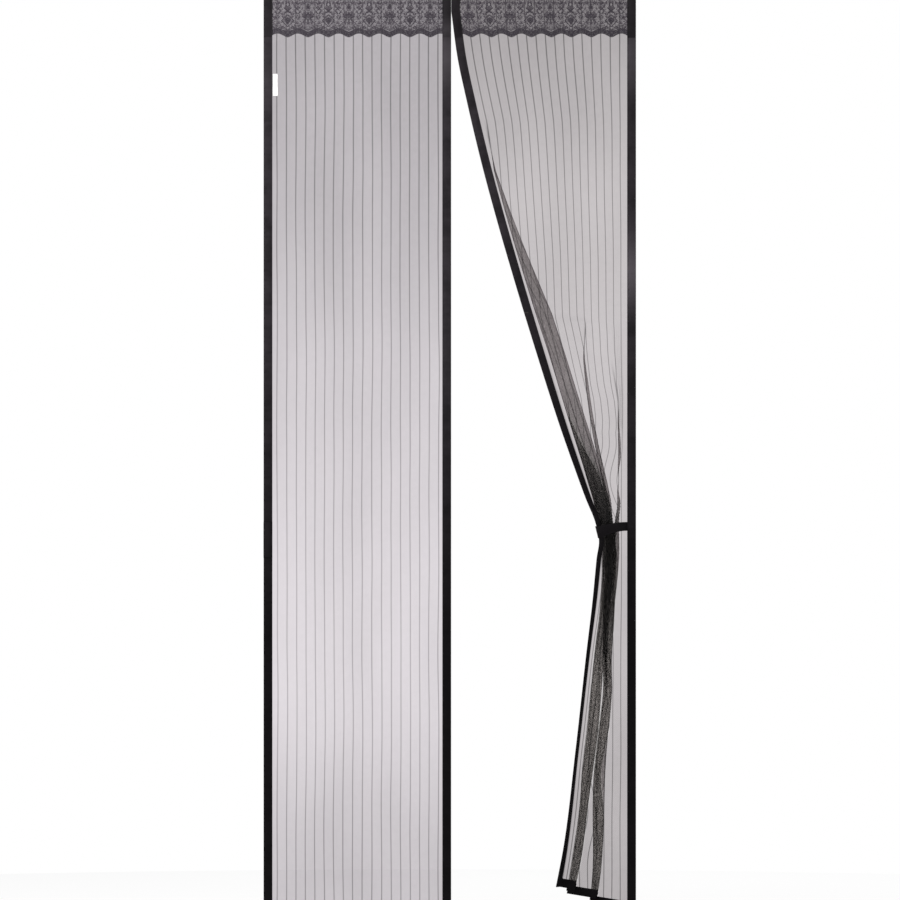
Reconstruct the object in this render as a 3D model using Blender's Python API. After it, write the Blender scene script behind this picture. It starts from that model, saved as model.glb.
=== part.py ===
"""Magnetic insect screen for a doorway: one panel hangs flat, the other is gathered and tied back.

Metres, +Z up. The door frame is the plane y = 0, the room is in front of it at -Y, and the origin is
the middle of the top fastening tape, where it sticks to the frame.
"""

from math import cos, pi, radians, sin

import bmesh
import bpy
import numpy as np

# Overall sizes
SCREEN_HEIGHT = 2.100
LEFT_PANEL_WIDTH = 0.4281
RIGHT_PANEL_WIDTH = 0.4216
CLEARANCE = 0.0003

# Tapes, bindings and cloth, from the door frame forwards
TAPE_WIDTH = 0.020
HOOK_THICKNESS = 0.0012
LOOP_THICKNESS = 0.0012
BINDING_THICKNESS = 0.0006
NET_THICKNESS = 0.0004
STRIPE_HEIGHT = 0.00025
LACE_THICKNESS = 0.0005
CLOTH_TUCK = 0.008

# Woven stripes of the net
STRIPE_PITCH = 0.0217
STRIPE_HALF_WIDTH = 0.0012
LEFT_FIRST_STRIPE = 0.0106
RIGHT_FIRST_STRIPE = 0.0176
NET_FACETS_BETWEEN_STRIPES = 3

# Lace
LACE_DEPTH = 0.108
SCALLOP_PITCH = 0.0465
SCALLOP_HEIGHT = 0.0085
SCALLOP_FACETS = 5
SCALLOP_ROUNDNESS = 0.8
LEFT_FIRST_SCALLOP = 0.035
RIGHT_FIRST_SCALLOP = 0.0367
LACE_BINDING_DEPTH = 0.1075

# Gaps in the lace at each scallop: an open crescent and two pairs of petals
LACE_GAP_MARGIN = 0.004
CRESCENT_ABOVE_EDGE = 0.0245
CRESCENT_HALF_WIDTH = 0.0145
CRESCENT_THICKNESS = 0.0042
CRESCENT_SAG = 0.0060
LOW_PETAL = {"beside": 0.0155, "above_edge": 0.0430, "length": 0.017, "width": 0.007, "lean": 0.30}
HIGH_PETAL = {"beside": 0.0085, "above_edge": 0.0665, "length": 0.020, "width": 0.0055, "lean": 0.45}
PETAL_OUTLINE = ((-0.5, 0.0), (-0.1, 0.5), (0.35, 0.35), (0.5, 0.0), (0.35, -0.35), (-0.1, -0.5))

# Magnets inside the inner bindings
MAGNET_LENGTH = 0.145
MAGNET_WIDTH = 0.010
MAGNET_THICKNESS = 0.0010
MAGNET_SPACING = 0.0072
MAGNETS_START = 0.1125
MAGNETS_HEM_MARGIN = 0.004

# Tie bands and label
TIE_DEPTH = 1.2243
TIE_DROOP = 0.018
TIE_HEIGHT = 0.020
TIE_THICKNESS = 0.0007
TIE_CLEARANCE = 0.0010
TIE_SIDES = 22
TIE_MITRE_LIMIT = 0.5
TIE_BEARINGS = (-5.0, -178.0)
TIE_TOUCH_HEIGHT = 0.014
CLOTH_SAMPLE_STEP = 0.0025
CLOTH_SAMPLE_SPAN = 0.100
STOWED_TIE_LENGTH = 0.082
STOWED_TIE_WIDTH = 0.0205
STOWED_TIE_FOLD_GAP = 0.0004
STOWED_TIE_FACETS = 6
LABEL_DEPTH = 0.1917
LABEL_LENGTH = 0.050
LABEL_WIDTH = 0.012
LABEL_THICKNESS = 0.0004
LABEL_TUCK = 0.005

# The gathered panel. Its free edge hangs straight to V_DEPTH, swings aside to the tie and falls back to
# the hem. The route is given as shares of the drop (0 at V_DEPTH, 1 at the tie, 2 at the hem corner) and
# of the pull, which is how far the tie draws the edge across, until the bunch reaches BUNCH_REACH.
V_DEPTH = 0.050
GATHER_DEPTH = 1.250
CORNER_DEPTH = 2.045
BUNCH_REACH = 0.0836
TIE_PULL = RIGHT_PANEL_WIDTH - BUNCH_REACH
ROUTE_DROPS = (
    0.0, 0.09, 0.17, 0.28, 0.51, 0.57, 0.795, 0.87, 0.966, 1.0, 1.06, 1.18, 1.47, 1.90, 2.0,
)
ROUTE_PULLS = (
    0.0, 0.049, 0.11, 0.216, 0.429, 0.480, 0.736, 0.845, 0.974, 1.0, 0.996, 0.956, 0.879, 0.751, 0.705,
)

# Folds of the gathered panel, by the same drops. Three flat pleats stand in front of soft ripples, and
# each takes a share of the slack. Their left creases keep the given distances from the free binding.
FOLD_DROPS = (0.0, 0.35, 0.60, 0.85, 1.0, 1.15, 1.45, 1.85, 2.0)
PLEAT_SHARES = (
    (0.45, 0.50, 0.48, 0.42, 0.23, 0.22, 0.20, 0.17, 0.17),
    (0.00, 0.06, 0.17, 0.23, 0.24, 0.23, 0.23, 0.24, 0.24),
    (0.00, 0.00, 0.06, 0.14, 0.20, 0.22, 0.25, 0.26, 0.26),
)
CREASE_OFFSETS = (
    (0.001, 0.001, 0.006, 0.012, 0.002, 0.008, 0.014, 0.023, 0.025),
    (0.018, 0.018, 0.018, 0.018, 0.005, 0.020, 0.032, 0.058, 0.066),
    (0.057, 0.057, 0.057, 0.050, 0.010, 0.024, 0.036, 0.063, 0.072),
)
CREASE_RADII = (0.0028, 0.0028, 0.0024, 0.0020, 0.0016, 0.0018, 0.0024, 0.0030, 0.0030)
BINDING_TURNS = (0.0, 0.0, 21.0, 47.0, 62.0, 67.0, 74.0, 70.0, 62.0)
RIPPLE_WAVES = 3.5
RIPPLE_FACETS = 56
RIPPLE_LEAD = 0.008
PLEAT_LEAD = 0.005
BINDING_LEAD = 0.0062
TURN_RADIUS = 0.004
RIPPLE_LIMIT = 2.1
FOLDS_BELOW_LACE = 0.005
PATH_STEP = 0.0005
SEARCH_STEPS = 30
ROWS_TO_TIE = 10
ROWS_TO_HEM = 5

# Worked out from the sizes above
TOP = TAPE_WIDTH / 2
X_LEFT = -(LEFT_PANEL_WIDTH + CLEARANCE + RIGHT_PANEL_WIDTH) / 2
X_MEET = X_LEFT + LEFT_PANEL_WIDTH
X_RIGHT_START = X_MEET + CLEARANCE
X_RIGHT = X_RIGHT_START + RIGHT_PANEL_WIDTH
LEFT_NET_WIDTH = LEFT_PANEL_WIDTH - 2 * TAPE_WIDTH
RIGHT_NET_WIDTH = RIGHT_PANEL_WIDTH - 2 * TAPE_WIDTH
RIGHT_MOUTH = X_RIGHT - TAPE_WIDTH
SIDE_START = TAPE_WIDTH + CLEARANCE
NET_START = TAPE_WIDTH - CLOTH_TUCK
HEM_MOUTH = SCREEN_HEIGHT - TAPE_WIDTH
NET_END = SCREEN_HEIGHT - NET_START
FOLD_START = LACE_DEPTH + FOLDS_BELOW_LACE

# Distances in front of the door frame
LOOP_BACK = HOOK_THICKNESS + CLEARANCE
BINDING_BACK = LOOP_BACK + LOOP_THICKNESS + CLEARANCE
SLOT_BACK = BINDING_BACK + BINDING_THICKNESS
NET_BACK = SLOT_BACK + CLEARANCE
NET_FRONT = NET_BACK + NET_THICKNESS
NET_MIDDLE = (NET_BACK + NET_FRONT) / 2
LACE_BACK = NET_FRONT + STRIPE_HEIGHT + CLEARANCE
SLOT_FRONT = LACE_BACK + LACE_THICKNESS + CLEARANCE
BINDING_FRONT = SLOT_FRONT + BINDING_THICKNESS
HEM_SLOT_FRONT = LACE_BACK
HEM_FRONT = HEM_SLOT_FRONT + BINDING_THICKNESS
TIE_BACK = NET_FRONT + CLEARANCE


def make_material(name, colour, roughness, alpha=1.0):
    material = bpy.data.materials.new(name)
    material.use_nodes = True
    shader = material.node_tree.nodes["Principled BSDF"]
    shader.inputs["Base Color"].default_value = (*colour, 1.0)
    shader.inputs["Roughness"].default_value = roughness
    shader.inputs["Metallic"].default_value = 0.0
    shader.inputs["Alpha"].default_value = alpha
    material.diffuse_color = (*colour, alpha)
    return material


def finish_object(name, mesh_builder, material):
    """Turns a bmesh into a named object with its faces pointing out."""
    bmesh.ops.recalc_face_normals(mesh_builder, faces=mesh_builder.faces)
    mesh = bpy.data.meshes.new(name)
    mesh_builder.to_mesh(mesh)
    mesh_builder.free()
    mesh.materials.append(material)
    item = bpy.data.objects.new(name, mesh)
    bpy.context.scene.collection.objects.link(item)
    return item


def at(x, distance, depth):
    """A point from its x, its distance in front of the door frame and its depth below the top edge."""
    return (x, -distance, TOP - depth)


def make_slab(name, x_range, distance_range, depth_range, material):
    """A straight piece of tape or strip, extruded from its end face."""
    builder = bmesh.new()
    (x0, x1), (near, far), (upper, lower) = x_range, distance_range, depth_range
    corners = [at(x, d, upper) for x, d in ((x0, near), (x1, near), (x1, far), (x0, far))]
    face = builder.faces.new([builder.verts.new(corner) for corner in corners])
    grown = bmesh.ops.extrude_face_region(builder, geom=[face])
    moved = [v for v in grown["geom"] if isinstance(v, bmesh.types.BMVert)]
    bmesh.ops.translate(builder, verts=moved, vec=(0, 0, upper - lower))
    return finish_object(name, builder, material)


def loft(name, rings, material, order=None):
    """A closed solid through like rings of points, with an end face on the first and the last.

    Where order gives each ring point's place across the strip, every facet is split along the same
    diagonal of the strip, so that pieces nested in one another stay clear when the strip twists.
    """
    builder = bmesh.new()
    verts = [[builder.verts.new(point) for point in ring] for ring in rings]
    count = len(rings[0])
    for here, there in zip(verts, verts[1:]):
        for k in range(count):
            m = (k + 1) % count
            if order is None:
                builder.faces.new((here[k], here[m], there[m], there[k]))
            elif order[m] >= order[k]:
                builder.faces.new((here[k], here[m], there[m]))
                builder.faces.new((here[k], there[m], there[k]))
            else:
                builder.faces.new((here[k], here[m], there[k]))
                builder.faces.new((here[m], there[m], there[k]))
    builder.faces.new(verts[0])
    builder.faces.new(list(reversed(verts[-1])))
    return finish_object(name, builder, material)


def make_sheet(name, front, back, material):
    """A closed sheet between two grids of points, with every facet split along the same diagonal."""
    builder = bmesh.new()
    rows, columns = len(front), len(front[0])
    sides = [[[builder.verts.new(p) for p in row] for row in grid] for grid in (front, back)]
    for grid in sides:
        for i in range(rows - 1):
            for j in range(columns - 1):
                a, b = grid[i][j], grid[i][j + 1]
                c, d = grid[i + 1][j + 1], grid[i + 1][j]
                builder.faces.new((a, b, c))
                builder.faces.new((a, c, d))
    near, far = sides
    for i in (0, rows - 1):
        for j in range(columns - 1):
            builder.faces.new((near[i][j], near[i][j + 1], far[i][j + 1], far[i][j]))
    for j in (0, columns - 1):
        for i in range(rows - 1):
            builder.faces.new((near[i][j], near[i + 1][j], far[i + 1][j], far[i][j]))
    return finish_object(name, builder, material)


def channel_section(depth_of_slot, back, slot_back, slot_front, front):
    """A tape folded over an edge, from its mouth behind round to the front: (place across, distance)."""
    tuck = min(CLOTH_TUCK, depth_of_slot)
    return [
        (0.0, back), (tuck, back), (TAPE_WIDTH, back),
        (TAPE_WIDTH, front), (tuck, front), (0.0, front),
        (0.0, slot_front), (tuck, slot_front), (depth_of_slot, slot_front),
        (depth_of_slot, slot_back), (tuck, slot_back), (0.0, slot_back),
    ]


SLOT_DEPTH = TAPE_WIDTH - BINDING_THICKNESS
SIDE_SECTION = channel_section(SLOT_DEPTH, BINDING_BACK, SLOT_BACK, SLOT_FRONT, BINDING_FRONT)
HEM_SECTION = channel_section(SLOT_DEPTH, BINDING_BACK, SLOT_BACK, HEM_SLOT_FRONT, HEM_FRONT)


def straight_section(section):
    """The same folded tape without the points that only a bent one needs."""
    return [point for point in section if point[0] in (0.0, SLOT_DEPTH, TAPE_WIDTH)]


def make_side_binding(name, x_mouth, outwards, upper, lower, material):
    """A folded tape down a straight side. outwards is -1 or 1, from the mouth to the fold."""
    corners = [(x_mouth + outwards * across, d) for across, d in straight_section(SIDE_SECTION)]
    rings = [[at(x, d, depth) for x, d in corners] for depth in (upper, lower)]
    return loft(name, rings, material)


def make_level_binding(name, section, x_range, depth_mouth, downwards, material):
    """A folded tape along the top or the hem. downwards is -1 or 1, from the mouth to the fold."""
    points = straight_section(section)
    rings = [[at(x, d, depth_mouth + downwards * across) for across, d in points] for x in x_range]
    return loft(name, rings, material)


def smooth_value(places, values, place):
    """A smooth curve through (place, value) pairs, straight beyond its ends."""
    places = np.asarray(places, float)
    values = np.asarray(values, float)
    slopes = np.gradient(values, places)
    place = np.asarray(place, float)
    i = np.clip(np.searchsorted(places, place) - 1, 0, len(places) - 2)
    step = places[i + 1] - places[i]
    t = np.clip((place - places[i]) / step, 0.0, 1.0)
    start = (1 + 2 * t) * (1 - t) ** 2 * values[i] + t * (1 - t) ** 2 * step * slopes[i]
    end = t * t * (3 - 2 * t) * values[i + 1] + t * t * (t - 1) * step * slopes[i + 1]
    beyond = np.maximum(place - places[-1], 0.0) * slopes[-1]
    return start + end + beyond


def drop_at(depth):
    """0 where the free edge starts to swing aside, 1 at the tie and 2 at the free corner of the hem."""
    upper = (depth - V_DEPTH) / (GATHER_DEPTH - V_DEPTH)
    lower = 1 + (depth - GATHER_DEPTH) / (CORNER_DEPTH - GATHER_DEPTH)
    return np.where(depth < GATHER_DEPTH, np.maximum(upper, 0.0), lower)


def free_edge_x(depth):
    return X_RIGHT_START + TIE_PULL * smooth_value(ROUTE_DROPS, ROUTE_PULLS, drop_at(depth))


def free_edge_depths():
    """Depths down the free edge's route, with the length of cloth from the top edge to each."""
    depths = np.arange(0.0, SCREEN_HEIGHT + PATH_STEP, PATH_STEP)
    lengths = np.hypot(np.diff(free_edge_x(depths)), np.diff(depths))
    return depths, np.concatenate(([0.0], np.cumsum(lengths)))


ROUTE_DEPTHS, ROUTE_LENGTHS = free_edge_depths()


def free_edge_depth(length):
    """How deep the free edge has come after a length of cloth, which runs aslant."""
    return np.interp(length, ROUTE_LENGTHS, ROUTE_DEPTHS)


def wave_ratio(angle):
    """How far a ripple reaches across for each metre of its cloth, when it turns up to an angle."""
    phases = np.linspace(0.0, pi, 65)
    return np.mean(np.cos(angle * np.sin(phases[:-1] + phases[1] / 2)))


def wave_angle(ratio):
    low, high = 0.0, RIPPLE_LIMIT
    for _ in range(SEARCH_STEPS):
        middle = (low + high) / 2
        if wave_ratio(middle) > ratio:
            low = middle
        else:
            high = middle
    return (low + high) / 2


def bend_angle(slack, bend):
    """The angle of a crease made of two bends of the given length, which takes up a small slack."""
    low, high = 0.0, pi
    for _ in range(SEARCH_STEPS):
        middle = (low + high) / 2
        if 2 * bend * (1 - sin(middle) / middle) < slack:
            low = middle
        else:
            high = middle
    return (low + high) / 2


def pleat_shape(slack, radius):
    """A flat pleat's fold angle and the width that it lies doubled over, from the slack it takes up."""
    bend = pi * radius
    if slack < 2 * bend:
        return bend_angle(slack, bend), 0.0
    return pi, (slack - 2 * bend) / 2


def headings(length):
    """The direction of the cloth along one row of the gathered panel, as (place, angle) pairs.

    Places run across the net from the outer binding to the free one. Angle 0 runs level with the door
    frame, a right angle straight to the front and two right angles back on itself.
    """
    depth = free_edge_depth(length)
    drop = float(drop_at(depth))
    turn = radians(float(smooth_value(FOLD_DROPS, BINDING_TURNS, drop)))
    radius = float(smooth_value(FOLD_DROPS, CREASE_RADII, drop))
    reach = RIGHT_MOUTH - (float(free_edge_x(depth)) + TAPE_WIDTH * cos(turn))
    scale = max(reach, planar_reach()) / RIGHT_NET_WIDTH
    level_reach = reach / scale
    slack = RIGHT_NET_WIDTH - level_reach

    # The pleats, from the free binding backwards
    bend = pi * radius
    pleats = []
    for shares, offsets in zip(PLEAT_SHARES, CREASE_OFFSETS):
        share = max(float(smooth_value(FOLD_DROPS, shares, drop)), 0.0)
        angle, width = pleat_shape(share * slack, radius)
        pleats.append((angle, width, float(smooth_value(FOLD_DROPS, offsets, drop))))
    leads = []
    for (_, width, offset), (_, width_behind, offset_behind) in zip(pleats, pleats[1:]):
        leads.append(max(offset_behind - offset + width_behind, PATH_STEP))
    leads.append(PLEAT_LEAD)

    turn_length = TURN_RADIUS * turn
    strip = pleats[0][1] + pleats[0][2] + BINDING_LEAD
    used = strip + turn_length + RIPPLE_LEAD
    used += sum(lead + width + 2 * bend for lead, (_, width, _) in zip(leads, pleats))
    ripple = max(RIGHT_NET_WIDTH - used, PATH_STEP)
    reach_of_rest = RIPPLE_LEAD + strip - BINDING_LEAD * (1 - cos(turn)) + TURN_RADIUS * sin(turn)
    for lead, (angle, width, _) in zip(leads, pleats):
        reach_of_rest += lead + width * cos(angle) + 2 * bend * (sin(angle) / max(angle, PATH_STEP))
    swing = wave_angle((level_reach - reach_of_rest) / ripple)

    places = [-CLOTH_TUCK, 0.0, RIPPLE_LEAD]
    angles = [0.0, 0.0, 0.0]
    phases = np.linspace(0.0, 2 * pi * RIPPLE_WAVES, RIPPLE_FACETS + 1)[1:]
    places += list(RIPPLE_LEAD + ripple * phases / phases[-1])
    angles += list(swing * np.sin(phases))
    for lead, (angle, width, _) in reversed(list(zip(leads, pleats))):
        for step, heading in ((lead, 0.0), (bend, angle), (width, angle), (bend, 0.0)):
            places.append(places[-1] + step)
            angles.append(heading)
    places.append(RIGHT_NET_WIDTH - BINDING_LEAD - turn_length)
    angles.append(0.0)
    places += [RIGHT_NET_WIDTH - BINDING_LEAD, RIGHT_NET_WIDTH, RIGHT_NET_WIDTH + TAPE_WIDTH]
    angles += [turn, turn, turn]
    return places, angles, scale, reach


def planar_reach():
    """How far the net reaches across just under the lace, above which it stays flat."""
    depth = free_edge_depth(FOLD_START)
    return RIGHT_MOUTH - float(free_edge_x(depth)) - TAPE_WIDTH


def fold_row(length, stations):
    """Points of the gathered net's middle along one row, at the given places across it."""
    places, angles, scale, reach = headings(length)
    path = np.arange(-CLOTH_TUCK, RIGHT_NET_WIDTH + TAPE_WIDTH, PATH_STEP)
    heading = np.interp(path + PATH_STEP / 2, places, angles)
    across = np.concatenate(([0.0], np.cumsum(np.cos(heading)))) * PATH_STEP
    forward = np.concatenate(([0.0], np.cumsum(np.sin(heading)))) * PATH_STEP
    path = np.append(path, path[-1] + PATH_STEP)
    across = (across - np.interp(0.0, path, across)) * scale
    across_at_mouth = float(np.interp(RIGHT_NET_WIDTH, path, across))
    inside = np.clip(path, 0.0, RIGHT_NET_WIDTH)
    across += (reach - across_at_mouth) * inside / RIGHT_NET_WIDTH
    x = RIGHT_MOUTH - np.interp(stations, path, across)
    distance = NET_MIDDLE + np.interp(stations, path, forward)
    tilt = np.clip(np.asarray(stations) / RIGHT_NET_WIDTH, 0.0, 1.0)
    depth = length + (free_edge_depth(length) - length) * tilt
    return [np.array(at(*point)) for point in zip(x, distance, depth)]


def row_normals(points):
    """Unit directions towards the front of the cloth, square to a row as seen from above."""
    flat = np.array(points)[:, :2]
    steps = np.diff(flat, axis=0)
    steps /= np.linalg.norm(steps, axis=1)[:, None]
    normals = np.stack((-steps[:, 1], steps[:, 0], np.zeros(len(steps))), axis=1)
    summed = np.concatenate((normals[:1], normals[:-1] + normals[1:], normals[-1:]))
    return summed / np.linalg.norm(summed, axis=1)[:, None]


def stripe_places(width, first):
    return list(np.arange(first, width - STRIPE_HALF_WIDTH, STRIPE_PITCH))


def net_stations(width, first):
    """Places across the net where its mesh has a line: feet and crest of each stripe, and some between."""
    stations = [-CLOTH_TUCK, 0.0]
    for place in stripe_places(width, first):
        gap_start, gap_end = stations[-1], place - STRIPE_HALF_WIDTH
        stations += list(np.linspace(gap_start, gap_end, NET_FACETS_BETWEEN_STRIPES + 1)[1:])
        stations += [place, place + STRIPE_HALF_WIDTH]
    stations += list(np.linspace(stations[-1], width, NET_FACETS_BETWEEN_STRIPES + 1)[1:])
    return stations + [width + CLOTH_TUCK]


class GatheredPanel:
    """The right panel's cloth as a coarse grid, which its net, bindings and magnets all share."""

    def __init__(self):
        self.stations = net_stations(RIGHT_NET_WIDTH, RIGHT_FIRST_STRIPE)
        crests = stripe_places(RIGHT_NET_WIDTH, RIGHT_FIRST_STRIPE)
        self.is_crest = [any(abs(s - crest) < PATH_STEP / 2 for crest in crests) for s in self.stations]
        tie_length = float(np.interp(GATHER_DEPTH, ROUTE_DEPTHS, ROUTE_LENGTHS))
        lengths = [NET_START, V_DEPTH]
        lengths += list(np.linspace(FOLD_START, tie_length, ROWS_TO_TIE + 1))
        lengths += list(np.linspace(tie_length, HEM_MOUTH, ROWS_TO_HEM + 1))[1:]
        self.lengths = lengths + [SCREEN_HEIGHT]
        self.rows = np.array([fold_row(length, self.stations) for length in self.lengths])
        self.normals = np.array([row_normals(row) for row in self.rows])
        self.normals[-1] = self.normals[-2]

    def row(self, length):
        """Points and front directions of the row at a length of cloth from the top edge."""
        i = int(np.clip(np.searchsorted(self.lengths, length) - 1, 0, len(self.lengths) - 2))
        share = (length - self.lengths[i]) / (self.lengths[i + 1] - self.lengths[i])
        points = self.rows[i] + share * (self.rows[i + 1] - self.rows[i])
        normals = self.normals[i] + share * (self.normals[i + 1] - self.normals[i])
        return points, normals

    def lengths_between(self, upper, lower):
        inside = [length for length in self.lengths if upper < length < lower]
        return [upper] + inside + [lower]

    def net_grids(self):
        front, back = [], []
        for length in self.lengths_between(NET_START, NET_END):
            points, normals = self.row(length)
            proud = np.where(self.is_crest, STRIPE_HEIGHT, 0.0) + NET_THICKNESS / 2
            front.append(points + normals * proud[:, None])
            back.append(points - normals * NET_THICKNESS / 2)
        return front, back

    def free_edge_ring(self, length, section):
        """A section placed on the free edge: (place from the binding's mouth, distance) pairs."""
        points, normals = self.row(length)
        mouth, edge = points[-2], points[-1]
        outwards = (edge - mouth) / CLOTH_TUCK
        ring = []
        for across, distance in section:
            share = min(across / CLOTH_TUCK, 1.0)
            normal = normals[-2] + share * (normals[-1] - normals[-2])
            ring.append(mouth + outwards * across + normal * (distance - NET_MIDDLE))
        return ring

    def hem_ring(self, place, section):
        """A section placed under a place across the net: (drop from the hem's mouth, distance) pairs."""
        points, normals = self.row(HEM_MOUTH)
        lowest, _ = self.row(SCREEN_HEIGHT)
        start, end, front = (
            np.array([np.interp(place, self.stations, grid[:, axis]) for axis in range(3)])
            for grid in (points, lowest, normals)
        )
        steps = ((across / TAPE_WIDTH, distance - NET_MIDDLE) for across, distance in section)
        return [start + share * (end - start) + front * proud for share, proud in steps]


def make_straight_net(name, material):
    """The flat panel's net: its striped section, extruded downwards."""
    mouth = X_LEFT + TAPE_WIDTH
    crests = stripe_places(LEFT_NET_WIDTH, LEFT_FIRST_STRIPE)
    front = [(-CLOTH_TUCK, NET_FRONT)]
    for crest in crests:
        front += [(crest - STRIPE_HALF_WIDTH, NET_FRONT), (crest, NET_FRONT + STRIPE_HEIGHT)]
        front.append((crest + STRIPE_HALF_WIDTH, NET_FRONT))
    front.append((LEFT_NET_WIDTH + CLOTH_TUCK, NET_FRONT))
    section = front + [(LEFT_NET_WIDTH + CLOTH_TUCK, NET_BACK), (-CLOTH_TUCK, NET_BACK)]
    rings = [[at(mouth + across, d, depth) for across, d in section] for depth in (NET_START, NET_END)]
    return loft(name, rings, material)


def scallop_depth(across, first):
    """Depth of the lace's lower edge: rounded lobes between wider domes."""
    phase = 2 * pi * (across - first) / SCALLOP_PITCH
    return LACE_DEPTH - SCALLOP_HEIGHT * (0.5 - 0.5 * cos(phase)) ** SCALLOP_ROUNDNESS


def crescent(middle):
    """The open crescent above a scallop's lobe, its horns up."""
    depth = LACE_DEPTH - CRESCENT_ABOVE_EDGE
    spread = np.linspace(-1.0, 1.0, 5)
    outer = [(middle + u * CRESCENT_HALF_WIDTH, depth - CRESCENT_SAG * u * u) for u in spread]
    inner = [(across, d - CRESCENT_THICKNESS) for across, d in reversed(outer[1:-1])]
    return outer + inner


def petal(middle, side, shape):
    """A pointed opening beside a scallop's middle, leaning away from it. side is -1 or 1."""
    across = middle + side * shape["beside"]
    depth = LACE_DEPTH - shape["above_edge"]
    lean = side * shape["lean"]
    turned = []
    for along, aside in PETAL_OUTLINE:
        u, v = along * shape["length"], aside * shape["width"]
        turned.append((across + u * sin(lean) + v * cos(lean), depth - u * cos(lean) + v * sin(lean)))
    return turned


def lace_openings(width, first):
    """Outlines of the gaps in the lace: a crescent and four petals to each scallop."""
    openings = []
    for middle in np.arange(first, width, SCALLOP_PITCH):
        openings.append(crescent(middle))
        openings += [petal(middle, side, shape) for side in (-1, 1) for shape in (LOW_PETAL, HIGH_PETAL)]
    low = LACE_GAP_MARGIN
    high = width - LACE_GAP_MARGIN
    return [outline for outline in openings if all(low < across < high for across, _ in outline)]


def make_lace(name, width, first, place_x, side_depths, material):
    """A flat strip of lace with a scalloped edge and open gaps.

    place_x turns a place across the net, at a depth, into x.
    """
    count = int(SCALLOP_FACETS * (width + 2 * CLOTH_TUCK) / SCALLOP_PITCH)
    outline = [(across, NET_START) for across in (-CLOTH_TUCK, width + CLOTH_TUCK)]
    outline += [(width + CLOTH_TUCK, depth) for depth in side_depths]
    lower = np.linspace(width + CLOTH_TUCK, -CLOTH_TUCK, count)
    outline += [(across, scallop_depth(across, first)) for across in lower]
    builder = bmesh.new()
    edges = []
    for loop in [outline] + lace_openings(width, first):
        verts = [builder.verts.new(at(place_x(across, depth), LACE_BACK, depth)) for across, depth in loop]
        edges += [builder.edges.new((a, b)) for a, b in zip(verts, verts[1:] + verts[:1])]
    filled = bmesh.ops.triangle_fill(builder, use_beauty=True, edges=edges)
    faces = [f for f in filled["geom"] if isinstance(f, bmesh.types.BMFace)]
    grown = bmesh.ops.extrude_face_region(builder, geom=faces, use_keep_orig=True)
    moved = [v for v in grown["geom"] if isinstance(v, bmesh.types.BMVert)]
    bmesh.ops.translate(builder, verts=moved, vec=(0, -LACE_THICKNESS, 0))
    return finish_object(name, builder, material)


def tie_middle_depth(x):
    """Depth of the tie band's middle line, which droops from the outer binding to the bunch."""
    bunch = X_RIGHT_START + TIE_PULL
    return TIE_DEPTH + TIE_DROOP * np.clip((RIGHT_MOUTH - x) / (RIGHT_MOUTH - bunch), 0.0, 1.0)


def tie_route(panel):
    """The middle line of the tie band, seen from above: out of the outer binding, round and back."""
    first = panel.stations.index(0.0)
    sampled = []
    for length in np.arange(TIE_DEPTH - TIE_HEIGHT, TIE_DEPTH + CLOTH_SAMPLE_SPAN, CLOTH_SAMPLE_STEP):
        points, normals = panel.row(length)
        fold = np.array(panel.free_edge_ring(length, SIDE_SECTION))
        sampled += [points[first:-1], points[first:-1] + normals[first:-1] * STRIPE_HEIGHT * 2, fold]
    sampled = np.concatenate(sampled)
    depths = TOP - sampled[:, 2]
    beside = np.abs(depths - tie_middle_depth(sampled[:, 0])) < TIE_TOUCH_HEIGHT
    sampled = sampled[beside, :2]
    tie_middle = TIE_BACK + TIE_THICKNESS / 2
    mouth = np.array((RIGHT_MOUTH - CLEARANCE, -tie_middle))
    cloth = np.concatenate((sampled, mouth[None, :]))
    margin = TIE_CLEARANCE + TIE_THICKNESS / 2 + STRIPE_HEIGHT
    # Tangent lines of the bunch, from its front right round to its left
    bearings = np.radians(np.linspace(*TIE_BEARINGS, TIE_SIDES))
    facing = np.stack((np.cos(bearings), np.sin(bearings)), axis=1)
    supports = (cloth @ facing.T).max(axis=0) + margin
    corners = []
    for k in range(TIE_SIDES - 1):
        corners.append(np.linalg.solve(facing[k:k + 2], supports[k:k + 2]))
    back = -(NET_BACK - CLEARANCE - TIE_THICKNESS / 2)
    tucked = np.array((RIGHT_MOUTH + CLOTH_TUCK, -tie_middle))
    left = corners[-1][0]
    route = [tucked, mouth] + [c for c in corners if c[0] < RIGHT_MOUTH - 2 * CLEARANCE]
    turn = TIE_THICKNESS
    route += [np.array((left, back - turn)), np.array((left + turn, back))]
    route.append(np.array((RIGHT_MOUTH - CLEARANCE, back)))
    return thin_out(route)


def thin_out(route):
    """Drops points of a route that lie nearly on the one before."""
    kept = [route[0]]
    for point in route[1:]:
        if np.linalg.norm(point - kept[-1]) > 2 * TIE_THICKNESS:
            kept.append(point)
    return kept


def make_tie_loop(name, panel, material):
    """The band round the bunch: one strip on edge, drooping towards the bunch."""
    route = tie_route(panel)
    steps = [(b - a) / np.linalg.norm(b - a) for a, b in zip(route, route[1:])]
    rings = []
    for k, point in enumerate(route):
        before, after = steps[max(k - 1, 0)], steps[min(k, len(steps) - 1)]
        along = (before + after) / np.linalg.norm(before + after)
        side = np.array((-along[1], along[0])) * TIE_THICKNESS / 2
        side /= max(float(before @ along), TIE_MITRE_LIMIT)
        middle = TOP - float(tie_middle_depth(point[0]))
        ring = []
        for edge, lift in ((1, 0.5), (-1, 0.5), (-1, -0.5), (1, -0.5)):
            x, y = point + edge * side
            ring.append((x, y, middle + lift * TIE_HEIGHT))
        rings.append(ring)
    return loft(name, rings, material)


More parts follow.
